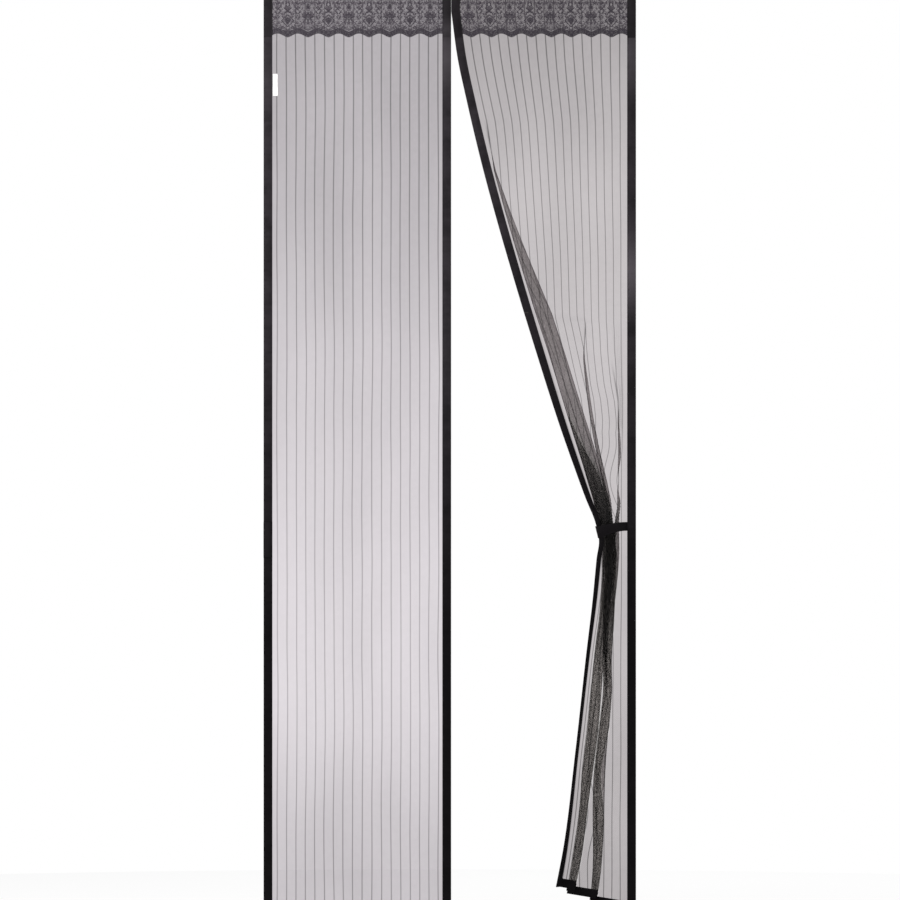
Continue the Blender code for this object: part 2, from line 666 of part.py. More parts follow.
def make_stowed_tie(name, material):
    """The unused band: doubled over, hanging down the front of the outer binding."""
    start = BINDING_FRONT + CLEARANCE
    radius = TIE_THICKNESS + STOWED_TIE_FOLD_GAP / 2
    centre = start + radius
    upper = TIE_DEPTH - TIE_HEIGHT / 2
    lower = upper + STOWED_TIE_LENGTH - radius
    angles = np.linspace(0.0, pi, STOWED_TIE_FACETS + 1)
    outer = [(centre - radius * cos(a), lower + radius * sin(a)) for a in angles]
    inner_radius = STOWED_TIE_FOLD_GAP / 2
    inner = [(centre + inner_radius * cos(a), lower + inner_radius * sin(a)) for a in angles]
    section = [(start, upper)] + outer + [(centre + radius, upper), (centre + inner_radius, upper)]
    section += inner + [(centre - inner_radius, upper)]
    middle = X_LEFT + TAPE_WIDTH / 2
    sides = (middle - STOWED_TIE_WIDTH / 2, middle + STOWED_TIE_WIDTH / 2)
    rings = [[at(x, distance, depth) for distance, depth in section] for x in sides]
    return loft(name, rings, material)


def magnet_spans():
    """The upper and lower depths of each magnet along an inner binding."""
    pitch = MAGNET_LENGTH + MAGNET_SPACING
    count = int((SCREEN_HEIGHT - MAGNETS_HEM_MARGIN - MAGNETS_START + MAGNET_SPACING) / pitch)
    return [(MAGNETS_START + k * pitch, MAGNETS_START + k * pitch + MAGNET_LENGTH) for k in range(count)]


def make_magnets(panel, material):
    middle = (SLOT_BACK + SLOT_FRONT) / 2
    near, far = middle - MAGNET_THICKNESS / 2, middle + MAGNET_THICKNESS / 2
    fold = SLOT_DEPTH - CLEARANCE
    section = [(fold - MAGNET_WIDTH, near), (fold, near), (fold, far), (fold - MAGNET_WIDTH, far)]
    order = [across for across, _ in section]
    mouth = X_MEET - TAPE_WIDTH
    for number, (upper, lower) in enumerate(magnet_spans(), 1):
        x_range = (mouth + fold - MAGNET_WIDTH, mouth + fold)
        make_slab(f"left_magnet_{number:02d}", x_range, (near, far), (upper, lower), material)
        rings = [panel.free_edge_ring(length, section) for length in panel.lengths_between(upper, lower)]
        loft(f"right_magnet_{number:02d}", rings, material, order)


def make_fastening_tapes(loop_material, hook_material):
    """Loop tapes sewn on the back of the screen, and hook tapes that stick to the door frame."""
    layers = (
        ("hook_tape", (0.0, HOOK_THICKNESS), hook_material),
        ("loop_tape", (LOOP_BACK, LOOP_BACK + LOOP_THICKNESS), loop_material),
    )
    for kind, distances, material in layers:
        make_slab(f"top_{kind}", (X_LEFT, X_RIGHT), distances, (0.0, TAPE_WIDTH), material)
        for side, x_start in (("left", X_LEFT), ("right", RIGHT_MOUTH)):
            x_range = (x_start, x_start + TAPE_WIDTH)
            make_slab(f"{side}_{kind}", x_range, distances, (SIDE_START, SCREEN_HEIGHT), material)


def make_straight_bindings(material):
    left_mouth, inner_mouth = X_LEFT + TAPE_WIDTH, X_MEET - TAPE_WIDTH
    sides = (("left_outer", left_mouth, -1), ("left_inner", inner_mouth, 1), ("right_outer", RIGHT_MOUTH, 1))
    for side, mouth, outwards in sides:
        make_side_binding(f"{side}_lace_binding", mouth, outwards, SIDE_START, LACE_BINDING_DEPTH, material)
        start = LACE_BINDING_DEPTH + CLEARANCE
        make_side_binding(f"{side}_binding", mouth, outwards, start, SCREEN_HEIGHT, material)
    make_level_binding("top_binding", SIDE_SECTION, (X_LEFT, X_RIGHT), TAPE_WIDTH, -1, material)
    x_range = (left_mouth + CLEARANCE, inner_mouth - CLEARANCE)
    make_level_binding("left_bottom_binding", HEM_SECTION, x_range, HEM_MOUTH, 1, material)


def make_gathered_bindings(panel, material):
    order = [across for across, _ in SIDE_SECTION]
    spans = (
        ("right_inner_lace_binding", SIDE_START, LACE_BINDING_DEPTH),
        ("right_inner_binding", LACE_BINDING_DEPTH + CLEARANCE, SCREEN_HEIGHT),
    )
    for name, upper, lower in spans:
        rings = [panel.free_edge_ring(length, SIDE_SECTION) for length in panel.lengths_between(upper, lower)]
        loft(name, rings, material, order)
    section = straight_section(HEM_SECTION)
    places = [s for s in panel.stations if CLEARANCE < s < RIGHT_NET_WIDTH - CLEARANCE]
    places = [CLEARANCE] + places + [RIGHT_NET_WIDTH - CLEARANCE]
    rings = [panel.hem_ring(place, section) for place in places]
    loft("right_bottom_binding", rings, material, [across for across, _ in section])


def make_laces(panel, material):
    left_mouth = X_LEFT + TAPE_WIDTH

    def left_x(across, depth):
        return left_mouth + across

    def right_x(across, depth):
        points, _ = panel.row(depth)
        return float(np.interp(across, panel.stations, points[:, 0]))

    make_lace("left_lace", LEFT_NET_WIDTH, LEFT_FIRST_SCALLOP, left_x, [], material)
    make_lace("right_lace", RIGHT_NET_WIDTH, RIGHT_FIRST_SCALLOP, right_x, [V_DEPTH], material)


def make_label(material):
    mouth = X_LEFT + TAPE_WIDTH
    distances = (LACE_BACK, LACE_BACK + LABEL_THICKNESS)
    x_range = (mouth - LABEL_TUCK, mouth + LABEL_WIDTH)
    make_slab("side_label", x_range, distances, (LABEL_DEPTH, LABEL_DEPTH + LABEL_LENGTH), material)


def build():
    for item in list(bpy.data.objects):
        bpy.data.objects.remove(item, do_unlink=True)
    net = make_material("black_net", (0.035, 0.033, 0.036), 0.7, alpha=0.35)
    lace = make_material("charcoal_lace", (0.075, 0.070, 0.076), 0.75)
    binding = make_material("black_binding", (0.014, 0.013, 0.014), 0.55)
    loop_tape = make_material("loop_tape", (0.012, 0.012, 0.013), 0.9)
    hook_tape = make_material("hook_tape", (0.016, 0.016, 0.017), 0.45)
    magnet = make_material("magnet_strip", (0.045, 0.038, 0.034), 0.6)
    label = make_material("white_label", (0.80, 0.79, 0.78), 0.45)

    panel = GatheredPanel()
    make_straight_net("left_mesh", net)
    make_sheet("right_mesh", *panel.net_grids(), net)
    make_laces(panel, lace)
    make_straight_bindings(binding)
    make_gathered_bindings(panel, binding)
    make_fastening_tapes(loop_tape, hook_tape)
    make_magnets(panel, magnet)
    make_stowed_tie("left_tie_band", binding)
    make_tie_loop("right_tie_band", panel, binding)
    make_label(label)


build()
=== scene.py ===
# %% [markdown]
# # A magnetic insect screen, one panel tied back
#
# The real thing is a door curtain of black net. Each of its two panels is bound in woven tape, has a
# strip of scalloped lace across the top and magnets in the binding that meets the other panel. The left
# panel hangs flat. The right one is drawn aside and held by a band, so its net lies in folds.
#
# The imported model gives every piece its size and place. This lesson dresses those pieces: it makes the
# cloth again with enough points to fold softly, and gives each surface a finish built from nodes.

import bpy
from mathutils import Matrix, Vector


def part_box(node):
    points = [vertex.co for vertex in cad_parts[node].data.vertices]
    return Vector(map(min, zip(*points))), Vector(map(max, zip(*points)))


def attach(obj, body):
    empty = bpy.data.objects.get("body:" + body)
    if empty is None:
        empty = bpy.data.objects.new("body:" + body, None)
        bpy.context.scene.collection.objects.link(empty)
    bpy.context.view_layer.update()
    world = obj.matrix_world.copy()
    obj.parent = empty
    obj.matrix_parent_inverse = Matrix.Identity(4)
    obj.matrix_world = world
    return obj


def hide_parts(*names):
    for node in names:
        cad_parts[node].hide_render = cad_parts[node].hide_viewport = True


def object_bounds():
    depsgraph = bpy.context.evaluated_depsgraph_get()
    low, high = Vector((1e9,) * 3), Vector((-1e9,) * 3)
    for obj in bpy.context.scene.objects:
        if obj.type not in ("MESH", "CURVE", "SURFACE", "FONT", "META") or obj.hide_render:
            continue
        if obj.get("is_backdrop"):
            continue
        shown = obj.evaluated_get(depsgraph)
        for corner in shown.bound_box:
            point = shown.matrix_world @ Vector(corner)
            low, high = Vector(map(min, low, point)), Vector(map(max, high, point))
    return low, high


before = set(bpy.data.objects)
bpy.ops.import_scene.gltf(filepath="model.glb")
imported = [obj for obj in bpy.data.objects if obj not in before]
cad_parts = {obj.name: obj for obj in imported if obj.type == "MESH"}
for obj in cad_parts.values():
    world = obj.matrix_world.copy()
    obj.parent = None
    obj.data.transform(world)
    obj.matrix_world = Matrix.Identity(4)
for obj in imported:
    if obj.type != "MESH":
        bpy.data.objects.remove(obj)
CAD_LOW, CAD_HIGH = (list(corner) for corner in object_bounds())
print("Packed model:", len(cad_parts), "pieces, from", CAD_LOW, "to", CAD_HIGH)

# %% Modules
from math import cos, pi, radians, sin

import bmesh
import bpy
import numpy as np
from mathutils import Vector

# %% [markdown]
# ## Colours and nodes
#
# Colours are given as sRGB hex values, the way a swatch or a screen gives them, but Blender's shaders
# work in linear light. One function turns the first into the second. Another adds a shader node with its
# settings and links in one call, which keeps the materials below short enough to read. Values that are
# the same all over a surface go on the shader's own sockets, where an export finds them. Cloth made of
# fine threads scatters nearly all of its gloss, so its specular level is a tenth of the usual 0.5.

# %% Colour and node helpers
def hex_to_linear(code):
    """An sRGB hex colour as linear RGB with full alpha."""
    channels = [int(code[i:i + 2], 16) / 255 for i in (1, 3, 5)]
    linear = [c / 12.92 if c <= 0.04045 else ((c + 0.055) / 1.055) ** 2.4 for c in channels]
    return (*linear, 1.0)


def feed(node, inputs):
    """Gives each input a number, a hex colour, or a link from a socket or a node's first output."""
    for name, value in inputs.items():
        if isinstance(value, str):
            value = hex_to_linear(value)
        if isinstance(value, bpy.types.Node):
            value = value.outputs[0]
        if isinstance(value, bpy.types.NodeSocket):
            node.id_data.links.new(value, node.inputs[name])
        else:
            node.inputs[name].default_value = value


def add_node(tree, kind, inputs=None, **settings):
    """Adds a shader node with its settings and feeds its inputs."""
    node = tree.nodes.new("ShaderNode" + kind)
    for name, value in settings.items():
        setattr(node, name, value)
    feed(node, inputs or {})
    return node


FIBRE_GLOSS = 0.05


def new_finish(name, colour, roughness, **sockets):
    """A material with its node tree and its one Principled shader."""
    material = bpy.data.materials.new(name)
    material.use_nodes = True
    shader = material.node_tree.nodes["Principled BSDF"]
    feed(shader, {"Base Color": colour, "Roughness": roughness})
    feed(shader, {socket.replace("_", " "): value for socket, value in sockets.items()})
    return material, material.node_tree, shader


# %% [markdown]
# ## Sizes
#
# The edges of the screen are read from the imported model, so the cloth lands exactly where the solids are.
# Depths count down from the top edge, and distances count forwards from the door frame into the room.
# Sizes of tapes and of the weave are the real ones, in metres.

# %% Sizes of the screen
SCREEN_LOW, SCREEN_TOP = CAD_LOW[2], CAD_HIGH[2]
SCREEN_HEIGHT = SCREEN_TOP - SCREEN_LOW
X_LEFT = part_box("left_outer_binding")[0].x
X_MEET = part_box("left_inner_binding")[1].x
X_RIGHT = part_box("right_outer_binding")[1].x
TAPE_WIDTH = 0.020
TAPE_THICKNESS = 0.0006
CLEARANCE = 0.0003
CLOTH_TUCK = 0.008
X_RIGHT_START = X_MEET + CLEARANCE
LEFT_MOUTH = X_LEFT + TAPE_WIDTH
INNER_MOUTH = X_MEET - TAPE_WIDTH
RIGHT_MOUTH = X_RIGHT - TAPE_WIDTH
LEFT_NET_WIDTH = X_MEET - X_LEFT - 2 * TAPE_WIDTH
RIGHT_NET_WIDTH = X_RIGHT - X_RIGHT_START - 2 * TAPE_WIDTH
NET_START = TAPE_WIDTH - CLOTH_TUCK
NET_END = SCREEN_HEIGHT - NET_START
HEM_MOUTH = SCREEN_HEIGHT - TAPE_WIDTH
print(f"Screen {X_RIGHT - X_LEFT:.4f} m wide and {SCREEN_HEIGHT:.4f} m tall")

# %% Distances in front of the door frame
NET_MIDDLE = 0.0041
LACE_BACK, LACE_FRONT = 0.00485, 0.00535
BINDING_BACK, BINDING_FRONT = (-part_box("left_outer_binding")[i].y for i in (1, 0))
HEM_FRONT = -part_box("left_bottom_binding")[0].y


def at(x, distance, depth):
    """A point from its x, its distance in front of the door frame and its depth below the top edge."""
    return np.array((x, -distance, SCREEN_TOP - depth))


print(f"Bindings lie {BINDING_BACK * 1000:.1f} to {BINDING_FRONT * 1000:.1f} mm in front of the frame")


# %% [markdown]
# ## Camera, floor and light
#
# The photograph was taken square on, from far enough away that the two side bindings look equally wide,
# so a long lens stands well back. It shows neither the very top edge nor the hem. A white backdrop would
# cast light of its own, so instead the world is white only where the camera looks, and a plainer grey
# lights the object. One large soft lamp high on the left makes the tapes brighter at the top than at the
# hem, as in the photograph, and a weaker one behind keeps the back of the screen readable.

# %% Camera
PICTURE_SIDE_PX = 900
METRES_PER_PX = 0.0022825
PICTURE_SIDE = PICTURE_SIDE_PX * METRES_PER_PX
PICTURE_MIDDLE_X = 0.0005
PICTURE_MIDDLE_DEPTH = 1.04995
LENS_MM, SENSOR_MM = 400, 36
CAMERA_DISTANCE = PICTURE_SIDE * LENS_MM / SENSOR_MM
CAMERA_REACH = 200

camera_data = bpy.data.cameras.new("long_lens_camera")
camera_data.lens = LENS_MM
camera_data.sensor_width = SENSOR_MM
camera_data.clip_end = CAMERA_REACH
camera = bpy.data.objects.new("long_lens_camera", camera_data)
camera.location = at(PICTURE_MIDDLE_X, NET_MIDDLE + CAMERA_DISTANCE, PICTURE_MIDDLE_DEPTH)
camera.rotation_euler = (pi / 2, 0, 0)
bpy.context.scene.collection.objects.link(camera)
bpy.context.scene.camera = camera
print(f"Camera {CAMERA_DISTANCE:.1f} m away, showing {PICTURE_SIDE:.3f} m")

# %% Lamps
SOFTBOX_SIZE = (1.6, 1.2)


def add_softbox(name, place, target, watts):
    """A rectangular lamp at a place, turned to shine on a target."""
    lamp = bpy.data.lights.new(name, "AREA")
    lamp.shape = "RECTANGLE"
    lamp.size, lamp.size_y = SOFTBOX_SIZE
    lamp.energy = watts
    item = bpy.data.objects.new(name, lamp)
    item.location = place
    item.rotation_euler = Vector(target - place).to_track_quat("-Z", "Y").to_euler()
    bpy.context.scene.collection.objects.link(item)


add_softbox("key_softbox", place=at(-1.8, 1.8, -0.7), target=at(0, 0, 0.8), watts=92)
add_softbox("back_softbox", place=at(1.4, -2.6, -0.6), target=at(0, 0, 1.0), watts=60)
print("Two softboxes placed")

# %% World
AMBIENT_LEVEL = 0.26

world = bpy.data.worlds.new("studio_surround")
world.use_nodes = True
bpy.context.scene.world = world
tree = world.node_tree
rays = add_node(tree, "LightPath")
seen = rays.outputs["Is Camera Ray"]
for ray in ("Is Glossy Ray", "Is Transmission Ray"):
    seen = add_node(tree, "Math", {0: seen, 1: rays.outputs[ray]}, operation="MAXIMUM")
level = add_node(tree, "MapRange", {"Value": seen, "To Min": AMBIENT_LEVEL, "To Max": 1.0})
feed(tree.nodes["Background"], {"Color": "#ffffff", "Strength": level})
bpy.context.scene.view_settings.view_transform = "Standard"
print("World lights the screen at", AMBIENT_LEVEL)

# %% [markdown]
# The floor is a studio sweep rolled with pale wall paint, dull and very slightly speckled. The camera sees
# it almost as white as the surround, with a share of real shading left in, so that the screen's soft
# shadow still falls on it.

# %% Floor
FLOOR_GAP = 0.008
FLOOR_RADIUS = 2.4
FLOOR_SIDES = 96
FLOOR_SHADING_SHARE = 0.15
FLOOR_SPECKLE = {"Scale": 60.0, "Detail": 3.0}

material, tree, shader = new_finish("painted_studio_floor", "#fbfbfb", 0.8)
tone = add_node(tree, "ValToRGB", {"Fac": add_node(tree, "TexNoise", FLOOR_SPECKLE)})
for stop, colour in zip(tone.color_ramp.elements, ("#f6f6f6", "#ffffff")):
    stop.color = hex_to_linear(colour)
feed(shader, {"Base Color": tone})
seen = add_node(tree, "LightPath").outputs["Is Camera Ray"]
share = add_node(tree, "Math", {0: seen, 1: 1 - FLOOR_SHADING_SHARE}, operation="MULTIPLY")
glow = add_node(tree, "Emission", {"Strength": 1.0})
blend = add_node(tree, "MixShader", {0: share, 1: shader, 2: glow})
feed(tree.nodes["Material Output"], {"Surface": blend})

builder = bmesh.new()
bmesh.ops.create_circle(builder, cap_ends=True, radius=FLOOR_RADIUS, segments=FLOOR_SIDES)
floor_mesh = bpy.data.meshes.new("studio_floor")
builder.to_mesh(floor_mesh)
builder.free()
floor_mesh.materials.append(material)
floor = bpy.data.objects.new("studio_floor", floor_mesh)
floor.location = (0, 0, SCREEN_LOW - FLOOR_GAP)
bpy.context.scene.collection.objects.link(floor)
floor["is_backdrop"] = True
print("Floor", FLOOR_GAP * 1000, "mm under the hem")

# %% [markdown]
# ## Building meshes
#
# Almost everything here is a strip of cloth or tape, so two builders are enough: a sheet through a grid of
# points, and a loft through rings. Both store where each point lies on the flat cloth, in metres, as a UV
# map. A weave drawn in those coordinates follows every fold, which one drawn in space would not.

# %% Mesh builders
CLOTH_MAP = "cloth_metres"
SHARP_EDGE = radians(50)


def new_piece(name, points, faces, places, material, slot, *nodes):
    """A piece of the screen. Places are its points on the flat cloth; nodes are what it replaces."""
    mesh = bpy.data.meshes.new(name)
    mesh.from_pydata([tuple(p) for p in np.asarray(points, float)], [], faces)
    corners = np.zeros(len(mesh.loops), np.int32)
    mesh.loops.foreach_get("vertex_index", corners)
    cloth_map = mesh.uv_layers.new(name=CLOTH_MAP)
    cloth_map.data.foreach_set("uv", np.asarray(places, np.float32)[corners].ravel())
    mesh.shade_smooth()
    mesh.materials.append(material)
    piece = bpy.data.objects.new(name, mesh)
    bpy.context.scene.collection.objects.link(piece)
    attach(piece, "root")
    if nodes:
        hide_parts(*nodes)
    return piece


def store_on_points(piece, name, values):
    """Keeps one number for each point of a piece, which its material can read."""
    attribute = piece.data.attributes.new(name, "FLOAT", "POINT")
    attribute.data.foreach_set("value", np.asarray(values).astype(np.float32).ravel())


def grid_faces(rows, columns, across_closed=False):
    """Faces between neighbouring rows of points, given as a flat list row after row."""
    faces = []
    for i in range(rows - 1):
        start, below = i * columns, (i + 1) * columns
        for j in range(columns - 1):
            faces.append((start + j, below + j, below + j + 1, start + j + 1))
        if across_closed:
            faces.append((start + columns - 1, below + columns - 1, below, start))
    return faces


def sheet_piece(name, grid, places, material, slot, *nodes):
    """A single layer of cloth through a grid of points."""
    faces = grid_faces(*grid.shape[:2])
    return new_piece(name, grid.reshape(-1, 3), faces, places.reshape(-1, 2), material, slot, *nodes)


def run_along(points):
    """The length of a line from its start to each of its points."""
    return np.concatenate(([0.0], np.cumsum(np.linalg.norm(np.diff(points, axis=0), axis=1))))


def loft_piece(name, rings, along, material, slot, *nodes):
    """A closed strip through rings of points. Along gives each ring's place down the tape."""
    rings = np.asarray(rings)
    count, around = rings.shape[:2]
    places = np.stack(np.meshgrid(run_along(rings[0]), along), axis=-1).reshape(-1, 2)
    last = (count - 1) * around
    faces = grid_faces(count, around, across_closed=True)
    faces += [tuple(range(around)), tuple(range(last + around - 1, last - 1, -1))]
    piece = new_piece(name, rings.reshape(-1, 3), faces, places, material, slot, *nodes)
    piece.data.set_sharp_from_angle(angle=SHARP_EDGE)
    return piece


# %% [markdown]
# ## The net
#
# The net is black polyester, warp-knitted: fine threads cross in small open diamonds, and every 22 mm a
# few needles carry extra threads, which makes a darker stripe. Modelling each thread would take millions
# of faces, so the material's alpha draws them instead: it says what share of the light each spot stops.
# Where the cloth folds over itself the layers multiply, and the folds go dark by themselves.
#
# To the eye this is a dark veil with soft lines, never quite even. Real diamonds are 1.4 mm wide, less
# than a pixel of the photograph, so they are drawn three times coarser, just enough to show as a fine
# grain. A slow noise makes the stripes wander and the tone drift, as slack cloth does. Light from behind
# is painted into the net's cover: it is drawn thinner between a quarter and three quarters of the way down
# than under the lace, as painted light where the light behind is strongest. Where several layers cross,
# their threads beat against each other in a mottled moire, which is drawn coarser than it is too.

# %% Diamonds and cover
DIAMOND_WIDTH = 0.0042
DIAMOND_CONTRAST = 0.12
THREAD_SHARPNESS = (0.30, 0.75)


def diamond_weave(tree, place):
    """Two families of slanting threads, each where a slanting wave passes its middle."""
    threads = []
    for operation in ("ADD", "SUBTRACT"):
        lean = add_node(tree, "Math", {0: place.outputs["X"], 1: place.outputs["Y"]}, operation=operation)
        phase = add_node(tree, "Math", {0: lean, 1: pi / DIAMOND_WIDTH}, operation="MULTIPLY")
        wave = add_node(tree, "Math", {0: phase}, operation="SINE")
        wave = add_node(tree, "Math", {0: wave}, operation="ABSOLUTE")
        threads.append(add_node(tree, "MapRange", {
            "Value": wave, "From Min": THREAD_SHARPNESS[0], "From Max": THREAD_SHARPNESS[1],
            "To Min": DIAMOND_CONTRAST, "To Max": 0.0}))
    return add_node(tree, "Math", {0: threads[0], 1: threads[1]}, operation="MAXIMUM")


def cover_with_painted_backlight(tree, space, covers, curve):
    """The cover of the plain net from the top edge, at 0, down to the hem, at 1; its change with height is
    painted light.
    """
    height = add_node(tree, "SeparateXYZ", {0: space}).outputs["Z"]
    drop = add_node(tree, "MapRange", {"Value": height, "From Min": SCREEN_TOP, "From Max": SCREEN_LOW})
    cover = add_node(tree, "ValToRGB", {"Fac": drop})
    stops = cover.color_ramp.elements
    cover.color_ramp.interpolation = curve
    while len(stops) < len(covers):
        stops.new(0.5)
    for stop, (share, value) in zip(stops, covers):
        stop.position = share
        stop.color = (value, value, value, 1)
    return cover


# %% Stripes that wander
STRIPE_PITCH = 0.0217
STRIPE_HALF_WIDTH = 0.0012
STRIPE_SOFT_EDGE = 0.4
STRIPE_EXTRA_COVER = 0.28
STRIPE_WANDER = 0.0088
SLACK_NOISE, SLACK_STRETCH = {"Scale": 7.0, "Detail": 1.0}, (1.0, 1.0, 0.4)


def slack_noise(tree, space):
    """A slow noise about 0, longer down the cloth than across it."""
    stretched = add_node(tree, "Mapping", {"Vector": space, "Scale": SLACK_STRETCH})
    noise = add_node(tree, "TexNoise", {"Vector": stretched, **SLACK_NOISE})
    return add_node(tree, "Math", {0: noise, 1: 0.5}, operation="SUBTRACT")


def stripe_cover(tree, place, slack):
    """The extra threads, by the distance from the nearest stripe once slack has moved it aside."""
    wander = add_node(tree, "Math", {0: slack, 1: STRIPE_WANDER, 2: place.outputs["X"]},
                      operation="MULTIPLY_ADD")
    beside = add_node(tree, "Math", {0: wander, 1: STRIPE_PITCH / 2, 2: -STRIPE_PITCH / 2}, operation="WRAP")
    beside = add_node(tree, "Math", {0: beside}, operation="ABSOLUTE")
    return add_node(tree, "MapRange", {
        "Value": beside, "From Min": STRIPE_HALF_WIDTH * (1 - STRIPE_SOFT_EDGE),
        "From Max": STRIPE_HALF_WIDTH * (1 + STRIPE_SOFT_EDGE),
        "To Min": STRIPE_EXTRA_COVER, "To Max": 0.0}, interpolation_type="SMOOTHSTEP")


# %% Slubs and moire
SLUB_NOISE = {"Scale": 90.0, "Detail": 2.0}
SLUB_COVER = 0.02
MOIRE_NOISE = {"Scale": 330.0, "Detail": 2.0, "Roughness": 0.6, "Distortion": 0.6}
MOIRE_STRETCH, MOIRE_RANGE, MOIRE_CONTRAST = (1.0, 1.0, 0.45), (0.32, 0.68), 0.13


def slub_cover(tree, space):
    """Thick and thin places of the yarn, set lower by what the diamonds add to the mean cover."""
    return add_node(tree, "MapRange", {
        "Value": add_node(tree, "TexNoise", {"Vector": space, **SLUB_NOISE}),
        "To Min": -SLUB_COVER - DIAMOND_CONTRAST / 2, "To Max": SLUB_COVER - DIAMOND_CONTRAST / 2})


def moire_cover(tree, space, layers):
    """The mottling of crossed layers, none where the net lies single."""
    squeezed = add_node(tree, "Mapping", {"Vector": space, "Scale": MOIRE_STRETCH})
    moire = add_node(tree, "MapRange", {
        "Value": add_node(tree, "TexNoise", {"Vector": squeezed, **MOIRE_NOISE}),
        "From Min": MOIRE_RANGE[0], "From Max": MOIRE_RANGE[1],
        "To Min": -MOIRE_CONTRAST, "To Max": MOIRE_CONTRAST})
    return add_node(tree, "Math", {0: layers, 1: moire}, operation="MULTIPLY")


# %% [markdown]
# The parts of the cover are added up, and what they leave open is raised to a power that grows as the net
# turns away from the room, because its threads then look closer together. That share of the light passes,
# tinted a very little by the thread that it grazes.

# %% Net finish
# Painted light: the covers fall where the light from behind is strongest. The right net's shaded finish has
# its own painted covers.
LEFT_PAINTED_BACKLIGHT_COVERS = ((0.0, 0.53), (0.71, 0.27), (1.0, 0.41))
RIGHT_PAINTED_BACKLIGHT_COVERS = ((0.0, 0.64), (0.23, 0.40), (0.66, 0.44), (1.0, 0.58))
SLACK_COVER = 0.14
LEAST_FACING = 0.22
LAYERS, PAINTED_CROWD_COVER = "layers_over", "painted_crowd_cover"
CROWDED_TINT = "#fffdfc"


def net_finish(name, covers, curve, tint):
    """Black knitted net. Covers are the shares of light that it stops, as (share of the drop, cover)."""
    material, tree, shader = new_finish(name, "#232222", 0.62, Specular_IOR_Level=FIBRE_GLOSS)
    place = add_node(tree, "SeparateXYZ", {0: add_node(tree, "UVMap", uv_map=CLOTH_MAP)})
    space = add_node(tree, "TexCoord").outputs["Object"]
    layers = add_node(tree, "Attribute", attribute_name=LAYERS).outputs["Fac"]
    painted_crowding = add_node(tree, "Attribute", attribute_name=PAINTED_CROWD_COVER).outputs["Fac"]
    slack = slack_noise(tree, space)
    drift = add_node(tree, "Math", {0: slack, 1: SLACK_COVER}, operation="MULTIPLY")
    total = cover_with_painted_backlight(tree, space, covers, curve)
    for part in (diamond_weave(tree, place), stripe_cover(tree, place, slack), slub_cover(tree, space),
                 painted_crowding, drift, moire_cover(tree, space, layers)):
        total = add_node(tree, "Math", {0: total, 1: part}, operation="ADD")

    normal = add_node(tree, "NewGeometry").outputs["Normal"]
    facing = add_node(tree, "SeparateXYZ", {0: normal}).outputs["Y"]
    facing = add_node(tree, "Math", {0: facing}, operation="ABSOLUTE")
    facing = add_node(tree, "Math", {0: facing, 1: LEAST_FACING}, operation="MAXIMUM")
    power = add_node(tree, "Math", {0: 1.0, 1: facing}, operation="DIVIDE")
    gaps = add_node(tree, "Math", {0: 1.0, 1: total}, operation="SUBTRACT", use_clamp=True)
    gaps = add_node(tree, "Math", {0: gaps, 1: power}, operation="POWER")
    light = add_node(tree, "Mix", {0: layers, 6: tint, 7: CROWDED_TINT}, data_type="RGBA")
    holes = add_node(tree, "BsdfTransparent", {"Color": light.outputs[2]})
    blend = add_node(tree, "MixShader", {0: gaps, 1: shader, 2: holes})
    feed(tree.nodes["Material Output"], {"Surface": blend})
    return material


left_net_finish = net_finish("warp_knitted_polyester_net_black", LEFT_PAINTED_BACKLIGHT_COVERS, "EASE", "#fff9fe")
right_net_finish = net_finish("warp_knitted_polyester_net_black_shaded", RIGHT_PAINTED_BACKLIGHT_COVERS, "B_SPLINE", "#fff9fb")
print("Net finish:", len(left_net_finish.node_tree.nodes), "nodes")

# %% [markdown]
# ## How the tied panel folds
#
# A cloth simulation could gather the panel, but its folds would land anywhere, while the photograph shows
# where each one lies. So the folds are worked out row by row. Seen from above, a row of cloth is a line
# of fixed length that must reach from the outer binding to the free one. Its spare length goes into flat
# pleats in front and soft ripples behind. The line is given by its heading, which never turns past
# straight back, so a row can't cross itself, and adding up short steps along the heading keeps its length.
#
# The free edge comes first: how far it is pulled aside at each height. Heights are told by the drop, which
# is 0 where the edge starts to swing, 1 at the tie and 2 at the free corner of the hem.

# %% Route of the free edge
V_DEPTH = 0.050
GATHER_DEPTH = 1.250
CORNER_DEPTH = 2.045
TIE_PULL = 0.338
ROUTE_DROPS = (0.0, 0.09, 0.17, 0.28, 0.40, 0.51, 0.64, 0.795, 0.87, 0.93, 0.966, 1.0, 1.06, 1.18, 1.32,
               1.61, 1.90, 2.0)
ROUTE_PULLS = (0.0, 0.044, 0.105, 0.197, 0.311, 0.424, 0.564, 0.740, 0.834, 0.913, 0.966, 0.994, 0.980,
               0.953, 0.914, 0.838, 0.751, 0.705)
PATH_STEP = 0.0005


def smooth_value(places, values, place):
    """A smooth curve through (place, value) pairs, straight beyond its last one."""
    places, values, place = (np.asarray(numbers, float) for numbers in (places, values, place))
    slopes = np.gradient(values, places)
    i = np.clip(np.searchsorted(places, place) - 1, 0, len(places) - 2)
    step = places[i + 1] - places[i]
    t = np.clip((place - places[i]) / step, 0.0, 1.0)
    start = (1 + 2 * t) * (1 - t) ** 2 * values[i] + t * (1 - t) ** 2 * step * slopes[i]
    end = t * t * (3 - 2 * t) * values[i + 1] + t * t * (t - 1) * step * slopes[i + 1]
    return start + end + np.maximum(place - places[-1], 0.0) * slopes[-1]


def drop_at(depth):
    upper = (depth - V_DEPTH) / (GATHER_DEPTH - V_DEPTH)
    lower = 1 + (depth - GATHER_DEPTH) / (CORNER_DEPTH - GATHER_DEPTH)
    return np.where(depth < GATHER_DEPTH, np.maximum(upper, 0.0), lower)


